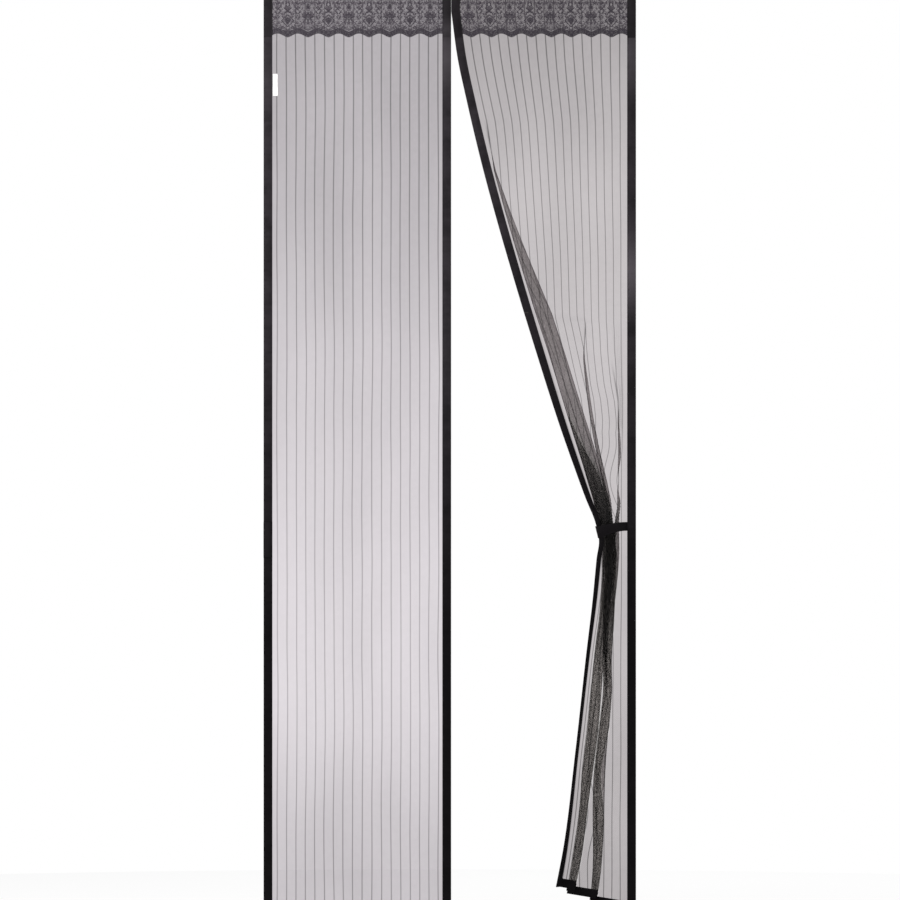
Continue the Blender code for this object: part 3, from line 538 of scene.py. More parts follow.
def free_edge_x(depth):
    return X_RIGHT_START + TIE_PULL * smooth_value(ROUTE_DROPS, ROUTE_PULLS, drop_at(depth))


ROUTE_DEPTHS = np.arange(0.0, SCREEN_HEIGHT + PATH_STEP, PATH_STEP)
ROUTE_LENGTHS = run_along(np.column_stack((free_edge_x(ROUTE_DEPTHS), ROUTE_DEPTHS)))


def free_edge_depth(length):
    """How deep the free edge has come after a length of cloth, which runs aslant."""
    return np.interp(length, ROUTE_LENGTHS, ROUTE_DEPTHS)


print(f"The free edge drops {free_edge_depth(SCREEN_HEIGHT):.3f} m along {SCREEN_HEIGHT:.3f} m of binding")

# %% [markdown]
# The folds were read off the photograph as widths in millimetres at twenty heights: how wide each of the
# four pleats lies, where its crease is behind the free binding, how wide the flat strip beside the outer
# binding is, and how tightly the creases bend. Necking is how far the knit closes up in width under the
# pull, since its diamonds are drawn lengthwise.

# %% Folds, read off the photograph
FOLD_DROPS = (0.0, 0.28, 0.45, 0.57, 0.64, 0.72, 0.80, 0.87, 0.93, 0.96, 1.0, 1.09, 1.18, 1.29, 1.41,
              1.52, 1.64, 1.75, 1.90, 2.0)
PLEAT_WIDTHS_MM = (
    (33, 33, 33, 33, 33, 34, 35, 34, 31, 28, 25, 22, 19, 18, 21, 23, 22, 16, 17, 13),
    (0, 0, 0, 0, 0, 0, 6, 26, 27, 26, 24, 22, 19, 18, 21, 22, 21, 15, 16, 13),
    (0, 0, 0, 0, 2, 4, 6, 8, 12, 16, 20, 24, 24, 17, 17, 20, 23, 22, 15, 11),
    (0, 0, 0, 0, 0, 1, 3, 5, 7, 12, 18, 22, 22, 18, 17, 20, 23, 22, 15, 11),
)
CREASE_OFFSETS_MM = (
    (1, 1, 2, 5, 8, 9, 9, 8, 5, 0, -4, 2, 6, 9, 9, 10, 10, 13, 11, 12),
    (1, 1, 2, 5, 9, 10, 11, 10, 7, 2, -1, 4, 7, 10, 10, 11, 11, 14, 12, 13),
    (110, 110, 110, 110, 88, 69, 55, 46, 32, 19, 9, 9, 13, 28, 36, 35, 36, 43, 58, 66),
    (160, 160, 160, 160, 145, 135, 110, 80, 54, 36, 20, 13, 14, 29, 37, 36, 37, 44, 59, 67),
)
FLAT_STRIPS_MM = (6, 6, 6, 6, 6, 6, 8, 14, 20, 22, 26, 30, 33, 37, 40, 47, 54, 56, 64, 72)
CREASE_RADII_MM = (2.6, 2.6, 2.5, 2.4, 2.4, 2.2, 2.0, 1.9, 1.7, 1.6, 1.6, 1.6, 1.7, 1.8, 2.0, 2.0, 2.1,
                   2.2, 2.4, 2.4)
NECKING = (1.00, .87, .82, .79, .76, .74, .74, .74, .76, .78, .80, .82, .83, .84, .84, .85, .86, .87, .88,
           .89)
TURN_DROPS = (0.0, 0.35, 0.60, 0.85, 1.0, 1.15, 1.45, 1.85, 2.0)
BINDING_TURNS = (0.0, 0.0, 21.0, 47.0, 62.0, 67.0, 74.0, 70.0, 62.0)
print(len(PLEAT_WIDTHS_MM), "pleats at", len(FOLD_DROPS), "heights")

# %% Pleats and ripples
LACE_DEPTH = 0.108
FOLDS_BELOW_LACE = 0.005
RIPPLE_WAVES = 3.5
RIPPLE_FACETS = 56
RIPPLE_LIMIT = 2.1
RIPPLE_RISE = 0.25
PLEAT_LEAD = 0.003
BINDING_LEAD = 0.0062
TURN_RADIUS = 0.004
SEARCH_STEPS = 30
RIPPLE_SHARES = (np.arange(RIPPLE_FACETS) + 1) / RIPPLE_FACETS
RIPPLE_TURNS = np.sin(2 * pi * RIPPLE_WAVES * RIPPLE_SHARES) * np.clip(RIPPLE_SHARES / RIPPLE_RISE, 0, 1)
FLAT_REACH = RIGHT_MOUTH - float(free_edge_x(free_edge_depth(LACE_DEPTH + FOLDS_BELOW_LACE))) - TAPE_WIDTH


def wave_ratio(angle):
    """How far the ripples reach across for each metre of their cloth, when they turn up to an angle."""
    return np.mean(np.cos(angle * RIPPLE_TURNS))


def search(too_small, low, high):
    """The value between low and high where a test stops saying that it is too small."""
    for _ in range(SEARCH_STEPS):
        middle = (low + high) / 2
        if too_small(middle):
            low = middle
        else:
            high = middle
    return (low + high) / 2


def pleat_shape(slack, radius):
    """A flat pleat's fold angle and the width that it lies doubled over, from the slack it takes up."""
    bend = pi * radius
    if slack < 2 * bend:
        return search(lambda angle: 2 * bend * (1 - sin(angle) / angle) < slack, 0.0, pi), 0.0
    return pi, (slack - 2 * bend) / 2


print(f"Above the folds a row reaches {FLAT_REACH:.3f} m with {RIGHT_NET_WIDTH:.3f} m of cloth")

# %% [markdown]
# A row is then laid out in order from the outer binding: the flat strip, the ripples, the pleats from the
# rearmost to the front one, and the turn into the free binding. The pleats take up the slack one after the
# other, the front one first. A pleat that gets too little to fold flat stands open instead, and the
# ripples swing just as far as it takes to end the row at the free edge.

# %% Headings of a row
def headings(length):
    """The heading of the cloth along one row, as (place, angle) pairs, and how far the row reaches.

    Places run from the outer binding to the free one. Angle 0 runs level with the door frame, a right
    angle straight to the front and two right angles back on itself.
    """
    depth = free_edge_depth(length)
    drop = float(drop_at(depth))

    def metres(millimetres):
        return float(smooth_value(FOLD_DROPS, millimetres, drop)) / 1000

    turn = radians(float(smooth_value(TURN_DROPS, BINDING_TURNS, drop)))
    radius = metres(CREASE_RADII_MM)
    reach = RIGHT_MOUTH - (float(free_edge_x(depth)) + TAPE_WIDTH * cos(turn))
    scale = max(reach, FLAT_REACH * float(smooth_value(FOLD_DROPS, NECKING, drop))) / RIGHT_NET_WIDTH
    slack = RIGHT_NET_WIDTH - reach / scale
    slack = max(slack - BINDING_LEAD * (1 - cos(turn)) - TURN_RADIUS * (turn - sin(turn)), 0.0)

    bend = pi * radius
    pleats = []
    for widths, offsets in zip(PLEAT_WIDTHS_MM, CREASE_OFFSETS_MM):
        wanted = metres(widths) / scale
        taken = min(slack, 2 * wanted + 2 * bend * min(wanted / (2 * radius), 1))
        slack -= taken
        pleats.append((*pleat_shape(taken, radius), metres(offsets) / scale))
    open_reach = [2 * bend * float(np.sinc(angle / pi)) for angle, _, _ in pleats]
    leads, overlap = [], 0.0
    for i in range(len(pleats) - 1):
        lead = pleats[i + 1][2] - pleats[i][2] + pleats[i + 1][1] - open_reach[i] - overlap
        leads.append(max(lead, PATH_STEP))
        overlap = leads[-1] - lead
    leads.append(PLEAT_LEAD)

    flat = metres(FLAT_STRIPS_MM) / scale
    turn_length = TURN_RADIUS * turn
    strip = pleats[0][1] + pleats[0][2] + BINDING_LEAD
    used = strip + turn_length + flat
    used += sum(lead + width + 2 * bend for lead, (_, width, _) in zip(leads, pleats))
    ripple = max(RIGHT_NET_WIDTH - used, PATH_STEP)
    reach_of_rest = flat + strip - BINDING_LEAD * (1 - cos(turn)) + TURN_RADIUS * sin(turn)
    reach_of_rest += sum(leads) + sum(open_reach) + sum(width * cos(angle) for angle, width, _ in pleats)
    wanted = (reach / scale - reach_of_rest) / ripple
    swing = search(lambda angle: wave_ratio(angle) > wanted, 0.0, RIPPLE_LIMIT)

    places = [-CLOTH_TUCK, 0.0, flat, *(flat + ripple * RIPPLE_SHARES)]
    angles = [0.0, 0.0, 0.0, *(swing * RIPPLE_TURNS)]
    for lead, (angle, width, _) in reversed(list(zip(leads, pleats))):
        for step, heading in ((lead, 0.0), (bend, angle), (width, angle), (bend, 0.0)):
            places.append(places[-1] + step)
            angles.append(heading)
    bound = RIGHT_NET_WIDTH - BINDING_LEAD
    places += [bound - turn_length, bound, RIGHT_NET_WIDTH, RIGHT_NET_WIDTH + TAPE_WIDTH]
    angles += [0.0, turn, turn, turn]
    return places, angles, scale, reach


# %% A folded row
def fold_row(length, stations):
    """Points of the gathered net along one row, at the given places across it."""
    places, angles, scale, reach = headings(length)
    path = np.arange(-CLOTH_TUCK, RIGHT_NET_WIDTH + TAPE_WIDTH, PATH_STEP)
    heading = np.interp(path + PATH_STEP / 2, places, angles)
    narrowing = np.where(path + PATH_STEP / 2 < RIGHT_NET_WIDTH, scale, 1.0)
    across = np.concatenate(([0.0], np.cumsum(np.cos(heading) * narrowing))) * PATH_STEP
    forward = np.concatenate(([0.0], np.cumsum(np.sin(heading)))) * PATH_STEP
    path = np.append(path, path[-1] + PATH_STEP)
    across -= np.interp(0.0, path, across)
    shortfall = reach - float(np.interp(RIGHT_NET_WIDTH, path, across))
    across += shortfall * np.clip(path, 0.0, RIGHT_NET_WIDTH) / RIGHT_NET_WIDTH
    stations = np.asarray(stations)
    x = RIGHT_MOUTH - np.interp(stations, path, across)
    distance = NET_MIDDLE + np.interp(stations, path, forward)
    tilt = np.clip(stations / RIGHT_NET_WIDTH, 0.0, 1.0)
    depth = length + (free_edge_depth(length) - length) * tilt
    return np.stack((x, -distance, SCREEN_TOP - depth), axis=1)


def row_normals(points):
    """Unit directions towards the front of the cloth, square to a row as seen from above."""
    steps = np.diff(points[:, :2], axis=0)
    steps /= np.linalg.norm(steps, axis=1)[:, None]
    normals = np.stack((-steps[:, 1], steps[:, 0], np.zeros(len(steps))), axis=1)
    summed = np.concatenate((normals[:1], normals[:-1] + normals[1:], normals[-1:]))
    return summed / np.linalg.norm(summed, axis=1)[:, None]


# %% [markdown]
# ## The two nets
#
# Each net is one sheet. Its points lie closer together than the fold radius, so creases stay round, and
# the stripes stand a quarter of a millimetre proud, as extra threads do. The flat panel isn't a board:
# it hangs in long shallow waves that only show when it is seen from the side.

# %% Stations across a net
FACETS_BETWEEN_STRIPES = 13
STRIPE_HEIGHT = 0.00025
LEFT_FIRST_STRIPE = 0.0106
RIGHT_FIRST_STRIPE = 0.0176


def net_stations(width, first):
    """Places across a net where its sheet has points, and which of them are the crest of a stripe."""
    stations, crests = [-CLOTH_TUCK, 0.0], [False, False]
    for place in np.arange(first, width - STRIPE_HALF_WIDTH, STRIPE_PITCH):
        gap = np.linspace(stations[-1], place - STRIPE_HALF_WIDTH, FACETS_BETWEEN_STRIPES + 1)[1:]
        stations += [*gap, place, place + STRIPE_HALF_WIDTH]
        crests += [False] * len(gap) + [True, False]
    gap = np.linspace(stations[-1], width, FACETS_BETWEEN_STRIPES + 1)[1:]
    stations += [*gap, width + CLOTH_TUCK]
    crests += [False] * (len(gap) + 1)
    return np.array(stations), np.array(crests)


# %% Flat left net
LEFT_ROWS = 160
SWAY = 0.0022
SWAY_START = 0.16
SWAY_WIDTH, SWAY_HEIGHT = 0.083, 1.30
SWAY_BEND = 1.5

stations, crests = net_stations(LEFT_NET_WIDTH, LEFT_FIRST_STRIPE)
across, down = np.meshgrid(stations, np.linspace(NET_START, NET_END, LEFT_ROWS))
shares = across / LEFT_NET_WIDTH  # the waves fade to nothing at both bindings, the lace and the hem
edge_fade = np.clip(shares, 0, 1) * np.clip(1 - shares, 0, 1) * 4
end_fade = np.clip((down - SWAY_START) / SWAY_START, 0, 1) * np.clip((NET_END - down) / SWAY_START, 0, 1)
waves = np.sin(2 * pi * across / SWAY_WIDTH + SWAY_BEND * np.sin(2 * pi * down / SWAY_HEIGHT))
forward = NET_MIDDLE + STRIPE_HEIGHT * crests + SWAY * waves * edge_fade ** 0.5 * end_fade
grid = np.stack((LEFT_MOUTH + across, -forward, SCREEN_TOP - down), axis=-1)
places = np.stack((across - LEFT_FIRST_STRIPE, down), axis=-1)
left_net = sheet_piece("left_net", grid, places, left_net_finish, "black_net", "left_mesh")
print("Left net:", len(left_net.data.polygons), "faces")

# %% [markdown]
# The gathered net needs one thing more. Where many layers lie over each other, the photograph is a little
# darker or lighter than the layers alone would make it, so each point of the net keeps how crowded its row
# is there, and the net's finish reads that.

# %% Gathered right net
RIGHT_ROWS = 270
FEW_LAYERS, MANY_LAYERS = 2.0, 4.0
CROWD_BIN = 0.003
# The cover added where layers crowd changes with the drop: above zero, around the tie, it is painted shade in
# the bunch; below zero, higher up and lower down, it is painted light.
CROWD_DROPS = (0.0, 0.30, 0.60, 0.80, 0.90, 0.96, 1.02, 1.10, 1.25, 1.40, 2.0)
CROWD_SHADE_AND_LIGHT = (0.0, -0.04, -0.05, -0.01, 0.08, 0.15, 0.11, 0.02, -0.05, -0.14, -0.19)


def crowded_share(x):
    """0 where a row lies in one or two layers, seen from the room, and 1 where it lies in many."""
    edges = np.arange(X_RIGHT_START - TAPE_WIDTH, X_RIGHT + CROWD_BIN, CROWD_BIN)
    counts, _ = np.histogram((x[:-1] + x[1:]) / 2, edges, weights=abs(np.diff(x)))
    layers = np.interp(x, edges[:-1] + CROWD_BIN / 2, counts / CROWD_BIN)
    return np.clip((layers - FEW_LAYERS) / (MANY_LAYERS - FEW_LAYERS), 0, 1)


right_stations, crests = net_stations(RIGHT_NET_WIDTH, RIGHT_FIRST_STRIPE)
lengths = np.linspace(NET_START, NET_END, RIGHT_ROWS)
rows = [fold_row(length, right_stations) for length in lengths]
right_cloth = np.array([row + row_normals(row) * (STRIPE_HEIGHT * crests)[:, None] for row in rows])
places = np.stack(np.meshgrid(right_stations - RIGHT_FIRST_STRIPE, lengths), axis=-1)
right_net = sheet_piece("right_net", right_cloth, places, right_net_finish, "black_net", "right_mesh")
crowded = np.array([crowded_share(row[:, 0]) for row in right_cloth])
crowd_shade_and_light = np.interp(drop_at(free_edge_depth(lengths)), CROWD_DROPS, CROWD_SHADE_AND_LIGHT)
store_on_points(right_net, LAYERS, crowded)
store_on_points(right_net, PAINTED_CROWD_COVER, crowded * crowd_shade_and_light[:, None])
print("Right net:", len(right_net.data.polygons), "faces")

# %% [markdown]
# ## Binding tape
#
# The edges are bound in woven polyester tape, folded over the net and sewn through. Its weft lies across
# the tape in fine ribs that catch the light as a dull satin. Ribs of 0.5 mm would vanish, so they are
# drawn 2.4 mm apart, and the bump stays shallow. Some spots are painted lighter, as painted highlights,
# and the lower part is painted darker and less glossy, as painted shade. The thread is twisted and matte,
# and the tape puckers a little between stitches. Without those puckers a long straight tape looks like
# plastic.

# %% Tape finish
RIB_PITCH = 0.0024
RIB_HEIGHT = 0.00012
RIB_SHARE = 0.25
TAPE_PATCHES = {"Scale": 14.0, "Detail": 4.0, "Roughness": 0.65}
TONE_RANGE = (0.42, 0.78)
TAPE_ROUGHNESS = (0.42, 0.62)
PAINTED_SHEEN = "painted_sheen"
SHEEN_TAPE = "#565156"
# Painted shade: the tape turns darker and less glossy from a height of -0.70 m down to -1.45 m, and stays so
# below.
PAINTED_SHADE_TAPE = "#0b0a0b"
SHADE_FROM, SHADE_TO = -0.70, -1.45
SHADE_SHARE = 0.85
SHADE_GLOSS = 0.02


def tape_finish(name, dark, light):
    """Black woven tape with ribs across it, a slow change of tone along it, painted highlights and painted
    shade.
    """
    material, tree, shader = new_finish(name, dark, 0.5, Specular_IOR_Level=FIBRE_GLOSS)
    place = add_node(tree, "SeparateXYZ", {0: add_node(tree, "UVMap", uv_map=CLOTH_MAP)})
    space = add_node(tree, "TexCoord").outputs["Object"]
    phase = add_node(tree, "Math", {0: place.outputs["Y"], 1: 2 * pi / RIB_PITCH}, operation="MULTIPLY")
    wave = add_node(tree, "Math", {0: phase}, operation="SINE")
    ribs = add_node(tree, "MapRange", {"Value": wave, "From Min": -1.0})
    patches = add_node(tree, "TexNoise", {"Vector": space, **TAPE_PATCHES})
    mixed = add_node(tree, "Math", {0: ribs, 1: RIB_SHARE, 2: patches}, operation="MULTIPLY_ADD")
    tone = add_node(tree, "ValToRGB", {"Fac": mixed})
    for stop, position, colour in zip(tone.color_ramp.elements, TONE_RANGE, (dark, light)):
        stop.position = position
        stop.color = hex_to_linear(colour)
    # Painted highlights: the point attribute mixes in a lighter tape colour.
    painted_sheen = add_node(tree, "Attribute", attribute_name=PAINTED_SHEEN).outputs["Fac"]
    highlighted = add_node(tree, "Mix", {0: painted_sheen, 6: tone, 7: SHEEN_TAPE}, data_type="RGBA")
    # Painted shade: lower down the tape turns darker and loses gloss.
    height = add_node(tree, "SeparateXYZ", {0: space}).outputs["Z"]
    painted_shade = add_node(tree, "MapRange", {
        "Value": height, "From Min": SHADE_FROM, "From Max": SHADE_TO, "To Max": SHADE_SHARE})
    colour = add_node(tree, "Mix", {0: painted_shade, 6: highlighted.outputs[2], 7: PAINTED_SHADE_TAPE}, data_type="RGBA")
    feed(shader, {
        "Base Color": colour.outputs[2],
        "Specular IOR Level": add_node(tree, "MapRange", {
            "Value": painted_shade, "To Min": FIBRE_GLOSS, "To Max": SHADE_GLOSS}),
        "Roughness": add_node(tree, "MapRange", {
            "Value": patches, "To Min": TAPE_ROUGHNESS[0], "To Max": TAPE_ROUGHNESS[1]}),
        "Normal": add_node(tree, "Bump", {"Height": ribs, "Strength": 0.6, "Distance": RIB_HEIGHT}),
    })
    return material


woven_tape = tape_finish("woven_polyester_tape_black", "#1a181a", "#322e32")
dense_tape = tape_finish("woven_polyester_tape_dense_black", "#131113", "#262326")
print("Tape finishes ready")

# %% Thread finish
THREAD_TWIST = {"Scale": 900.0, "Distortion": 2.0}
THREAD_RELIEF = 0.0001

sewing_thread, tree, shader = new_finish("spun_polyester_thread_black", "#2a282a", 0.7,
                                         Specular_IOR_Level=FIBRE_GLOSS)
space = add_node(tree, "TexCoord").outputs["Object"]
twist = add_node(tree, "TexWave", {"Vector": space, **THREAD_TWIST}).outputs["Fac"]
feed(shader, {"Normal": add_node(tree, "Bump", {
    "Height": twist, "Strength": 0.5, "Distance": THREAD_RELIEF})})
print("Thread finish ready")

# %% [markdown]
# A folded binding is drawn once as a section: up the back, round the fold, down the front, and back up
# inside the slot that holds the net. It is then carried along a list of stands. A stand says where the
# tape's mouth is, which way the tape runs from there to its fold, which way its front faces, and how far
# along the tape it is. The same section so makes the straight bindings, the slanting one and the hems.

# %% Folded section and stands
FOLD_ARC_FACETS = 8
SEAM_PLACE = 0.0025
SEAM_HALF_WIDTH = 0.0009
SEAM_DENT = 0.00022
RING_STEP = 0.003
LEAST_RINGS = 3


def folded_section(back, front):
    """Section of a tape folded over an edge, as (place from its mouth, distance) pairs."""
    middle, outer = (front + back) / 2, (front - back) / 2
    inner = outer - TAPE_THICKNESS
    arc_place = TAPE_WIDTH - outer
    turns = np.linspace(-pi / 2, pi / 2, FOLD_ARC_FACETS + 1)
    seam = [(0.0, 0.0), (SEAM_PLACE - SEAM_HALF_WIDTH, 0.0), (SEAM_PLACE, SEAM_DENT),
            (SEAM_PLACE + SEAM_HALF_WIDTH, 0.0), (arc_place / 2, 0.0)]
    points = [(place, back + dent) for place, dent in seam]
    points += [(arc_place + outer * cos(a), middle + outer * sin(a)) for a in turns]
    points += [(place, front - dent) for place, dent in reversed(seam)]
    points += [(0.0, front - TAPE_THICKNESS), (arc_place / 2, front - TAPE_THICKNESS)]
    points += [(arc_place + inner * cos(a), middle + inner * sin(a)) for a in reversed(turns)]
    points += [(arc_place / 2, back + TAPE_THICKNESS), (0.0, back + TAPE_THICKNESS)]
    return np.array(points)


def rings_between(upper, lower):
    return np.linspace(upper, lower, max(int((lower - upper) / RING_STEP), LEAST_RINGS))


def side_stands(x_mouth, outwards, upper, lower):
    """Stands down a straight side. Outwards is -1 or 1, from the mouth to the fold."""
    return [(at(x_mouth, NET_MIDDLE, depth), np.array((outwards, 0, 0)), np.array((0, -1, 0)), depth)
            for depth in rings_between(upper, lower)]


def level_stands(depth_mouth, downwards, x_start, x_end):
    """Stands along the top or the hem. Downwards is -1 or 1, from the mouth to the fold."""
    return [(at(x, NET_MIDDLE, depth_mouth), np.array((0, 0, -downwards)), np.array((0, -1, 0)), x)
            for x in rings_between(x_start, x_end)]


def free_edge_stands(upper, lower):
    """Stands down the free edge of the gathered panel."""
    stands = []
    for length in rings_between(upper, lower):
        row = fold_row(length, [RIGHT_NET_WIDTH, RIGHT_NET_WIDTH + CLOTH_TUCK])
        stands.append((row[0], (row[1] - row[0]) / CLOTH_TUCK, row_normals(row)[0], length))
    return stands


# %% Binding with puckers
PUCKER_HEIGHT = 0.00018
PUCKER_WAVELENGTHS = (0.011, 0.019, 0.034, 0.071)
pucker_draws = np.random.default_rng(7)


def pucker(along):
    """Small uneven swellings of a sewn tape, in metres, at places along it."""
    total = np.zeros_like(along)
    for wavelength in PUCKER_WAVELENGTHS:
        total += np.sin(2 * pi * along / wavelength + pucker_draws.uniform(0, 2 * pi))
    return PUCKER_HEIGHT * total


def binding_piece(name, stands, back, front, material, node, sheen_patches):
    """Carries the folded section along its stands, with puckers on the front.

    The patches in the last argument are painted highlights, places painted lighter, as (place along it, half
    length, amount).
    """
    section = folded_section(back, front)  # its outer skin comes first, and only its front swells
    outer_front = (section[:, 1] > (back + front) / 2) & (np.arange(len(section)) < len(section) / 2 + 2)
    swells = outer_front & (section[:, 0] > 0)
    along = np.array([stand[3] for stand in stands])
    rings = []
    for (mouth, outwards, normal, _), height in zip(stands, pucker(along)):
        away = section[:, 1] - NET_MIDDLE + np.where(swells, height, 0.0)
        rings.append(mouth + outwards * section[:, :1] + normal * away[:, None])
    piece = loft_piece(name, rings, along, material, "black_binding", node)
    painted_sheen = along * 0
    for place, half, amount in sheen_patches:
        painted_sheen += amount * np.exp(-((along - place) / half) ** 2)
    store_on_points(piece, PAINTED_SHEEN, np.repeat(painted_sheen, len(section)))
    return piece


# %% Stitches
STITCH_LENGTH = 0.0026
STITCH_GAP = 0.0012
STITCH_WIDTH = 0.00055


def stitch_piece(name, stands, distances):
    """A line of stitches along a tape: short spindles of thread lying in the seam's dent."""
    mouths = np.array([stand[0] + stand[1] * SEAM_PLACE for stand in stands])
    sides, normals = (np.array([stand[i] for stand in stands]) for i in (1, 2))
    run = run_along(mouths)
    starts = np.arange(STITCH_GAP, run[-1] - STITCH_LENGTH, STITCH_LENGTH + STITCH_GAP)

    def on_line(place, line):
        return np.array([np.interp(place, run, column) for column in line.T])

    points, faces = [], []
    for distance in distances:
        line = mouths + normals * (distance - NET_MIDDLE)
        for start in starts:
            head, middle, tail = (on_line(start + share * STITCH_LENGTH, line) for share in (0, 0.5, 1))
            side, up = (on_line(start, directions) * STITCH_WIDTH / 2 for directions in (sides, normals))
            first = len(points)
            points += [head, middle + side, middle + up, middle - side, middle - up, tail]
            for k in range(4):
                a, b = first + 1 + k, first + 1 + (k + 1) % 4
                faces += [(first, b, a), (first + 5, a, b)]
    return new_piece(name, points, faces, np.zeros((len(points), 2)), sewing_thread, "black_binding")


# %% Side, top and hem bindings
LACE_BINDING_DEPTH = 0.1075
LACE_TAPE_PROUD = 0.0001
LACE_TAPE_OVERLAP = 0.0015
# Painted highlights: lighter patches where satin would catch the lamp, as (place along, half length, amount).
PAINTED_SHEEN_PATCHES = {
    "left_outer_binding": ((0.19, 0.09, 0.12),),
    "left_inner_binding": ((0.16, 0.06, 0.5), (0.86, 0.16, 0.10)),
    "right_outer_binding": ((0.15, 0.07, 0.5), (0.64, 0.07, 1.0)),
    "left_inner_lace_binding": ((0.09, 0.02, 0.3),),
}


def sewn_binding(name, node, stands, material, proud=0.0, front=BINDING_FRONT):
    """A folded tape over a node, and its stitches."""
    back, front = BINDING_BACK - proud, front + proud
    tape = binding_piece(f"{name}_tape", stands, back, front, material, node, PAINTED_SHEEN_PATCHES.get(name, ()))
    stitch_piece(f"{name}_stitches", stands, (back + SEAM_DENT / 2, front - SEAM_DENT / 2))
    return tape


sides = {
    "left_outer": lambda upper, lower: side_stands(LEFT_MOUTH, -1, upper, lower),
    "left_inner": lambda upper, lower: side_stands(INNER_MOUTH, 1, upper, lower),
    "right_inner": free_edge_stands,
    "right_outer": lambda upper, lower: side_stands(RIGHT_MOUTH, 1, upper, lower),
}
for side, stands_between in sides.items():
    name = f"{side}_lace_binding"
    stands = stands_between(TAPE_WIDTH + CLEARANCE, LACE_BINDING_DEPTH + LACE_TAPE_OVERLAP)
    sewn_binding(name, name, stands, dense_tape, LACE_TAPE_PROUD)
    name = f"{side}_binding"
    stands = stands_between(LACE_BINDING_DEPTH + CLEARANCE, SCREEN_HEIGHT)
    sewn_binding(name, name, stands, woven_tape)

stands = level_stands(TAPE_WIDTH, -1, X_LEFT, X_RIGHT)
sewn_binding("top_binding", "top_binding", stands, dense_tape)
stands = level_stands(HEM_MOUTH, 1, LEFT_MOUTH + CLEARANCE, INNER_MOUTH - CLEARANCE)
sewn_binding("left_hem", "left_bottom_binding", stands, woven_tape, front=HEM_FRONT)

hem_end = RIGHT_NET_WIDTH - CLEARANCE
inside = right_stations[(right_stations > CLEARANCE) & (right_stations < hem_end)]
hem_places = np.array((CLEARANCE, *inside, hem_end))
upper_row, lowest_row = fold_row(HEM_MOUTH, hem_places), fold_row(SCREEN_HEIGHT, hem_places)
stands = list(zip(upper_row, (lowest_row - upper_row) / TAPE_WIDTH, row_normals(upper_row), hem_places))
sewn_binding("right_hem", "right_bottom_binding", stands, woven_tape, front=HEM_FRONT)

# %% [markdown]
# ## Lace
#
# The lace is knitted on a machine as one strip. Its ground is a fine tulle, and the motifs are threads laid
# over it in satin stitch, thick enough to stand up a little. The ground is one flat sheet with real holes,
# the open crescents and petals. Each motif is a ridge between two lines, highest in the middle. A ridge
# needs only two rows of faces, and smooth shading rounds it like padded stitching.
#
# The yarn is dull polyester, and light coming through its cells turns the black to charcoal. Cells of
# about 1 mm are drawn twice that. Between the motifs the real strip is full of small flowers, mirrored
# about each scallop. They are drawn as a mirrored noise, plainer than the real flowers and a little
# larger. Satin stitches lie 0.4 mm apart, and are drawn as rows 1 mm apart. A wave texture of scale 1
# repeats every tenth of pi, which gives the scale for such rows.

# %% Lace finishes
SCALLOP_PITCH = 0.0465
TULLE_CELL = 0.0021
TULLE_CELLS = {"Scale": 1 / TULLE_CELL, "Randomness": 0.35}
THREAD_OF_CELL = (0.08, 0.32)
FLOWER_NOISE = {"Scale": 165.0, "Detail": 1.5, "Distortion": 1.6}
FLOWER_RANGE = (0.40, 0.60)
SATIN_ROW_PITCH = 0.00103673
SATIN_ROWS = {"Scale": pi / 10 / SATIN_ROW_PITCH, "Distortion": 1.5, "Detail": 1.0}
SATIN_RELIEF = 0.0002


def lace_finish(name, colour, light, cover, flowers):
    """Dull charcoal lace. Cover is what its cells and threads stop, and flowers how much that varies."""
    material, tree, shader = new_finish(name, colour, 0.65, Specular_IOR_Level=FIBRE_GLOSS)
    place = add_node(tree, "UVMap", uv_map=CLOTH_MAP)
    cells = add_node(tree, "TexVoronoi", {"Vector": place, **TULLE_CELLS}, feature="DISTANCE_TO_EDGE")
    alpha = add_node(tree, "MapRange", {
        "Value": cells.outputs["Distance"], "From Min": THREAD_OF_CELL[0], "From Max": THREAD_OF_CELL[1],
        "To Min": cover[1], "To Max": cover[0]}, interpolation_type="SMOOTHSTEP")
    spot = add_node(tree, "SeparateXYZ", {0: place})
    folded = add_node(tree, "Math", {0: spot.outputs["X"], 1: SCALLOP_PITCH}, operation="PINGPONG")
    mirrored = add_node(tree, "CombineXYZ", {0: folded, 1: spot.outputs["Y"]})
    dense = add_node(tree, "MapRange", {
        "Value": add_node(tree, "TexNoise", {"Vector": mirrored, **FLOWER_NOISE}),
        "From Min": FLOWER_RANGE[0], "From Max": FLOWER_RANGE[1],
        "To Min": -flowers, "To Max": flowers}, interpolation_type="SMOOTHSTEP")
    rows = add_node(tree, "TexWave", {"Vector": place, **SATIN_ROWS}, bands_direction="Y").outputs["Fac"]
    tint = add_node(tree, "Mix", {0: rows, 6: colour, 7: light}, data_type="RGBA")
    feed(shader, {
        "Alpha": add_node(tree, "Math", {0: alpha, 1: dense}, operation="ADD", use_clamp=True),
        "Base Color": tint.outputs[2],
        "Normal": add_node(tree, "Bump", {"Height": rows, "Strength": 0.5, "Distance": SATIN_RELIEF}),
    })
    return material


tulle_ground = lace_finish("knitted_tulle_ground_charcoal", "#454046", "#504a51", (0.60, 0.92), 0.30)
open_tulle = lace_finish("open_tulle_charcoal", "#454046", "#504a51", (0.22, 0.80), 0.10)
satin_stitch = lace_finish("satin_stitched_thread_charcoal", "#38343a", "#443f46", (0.88, 0.98), 0.16)
print("Lace finishes ready")

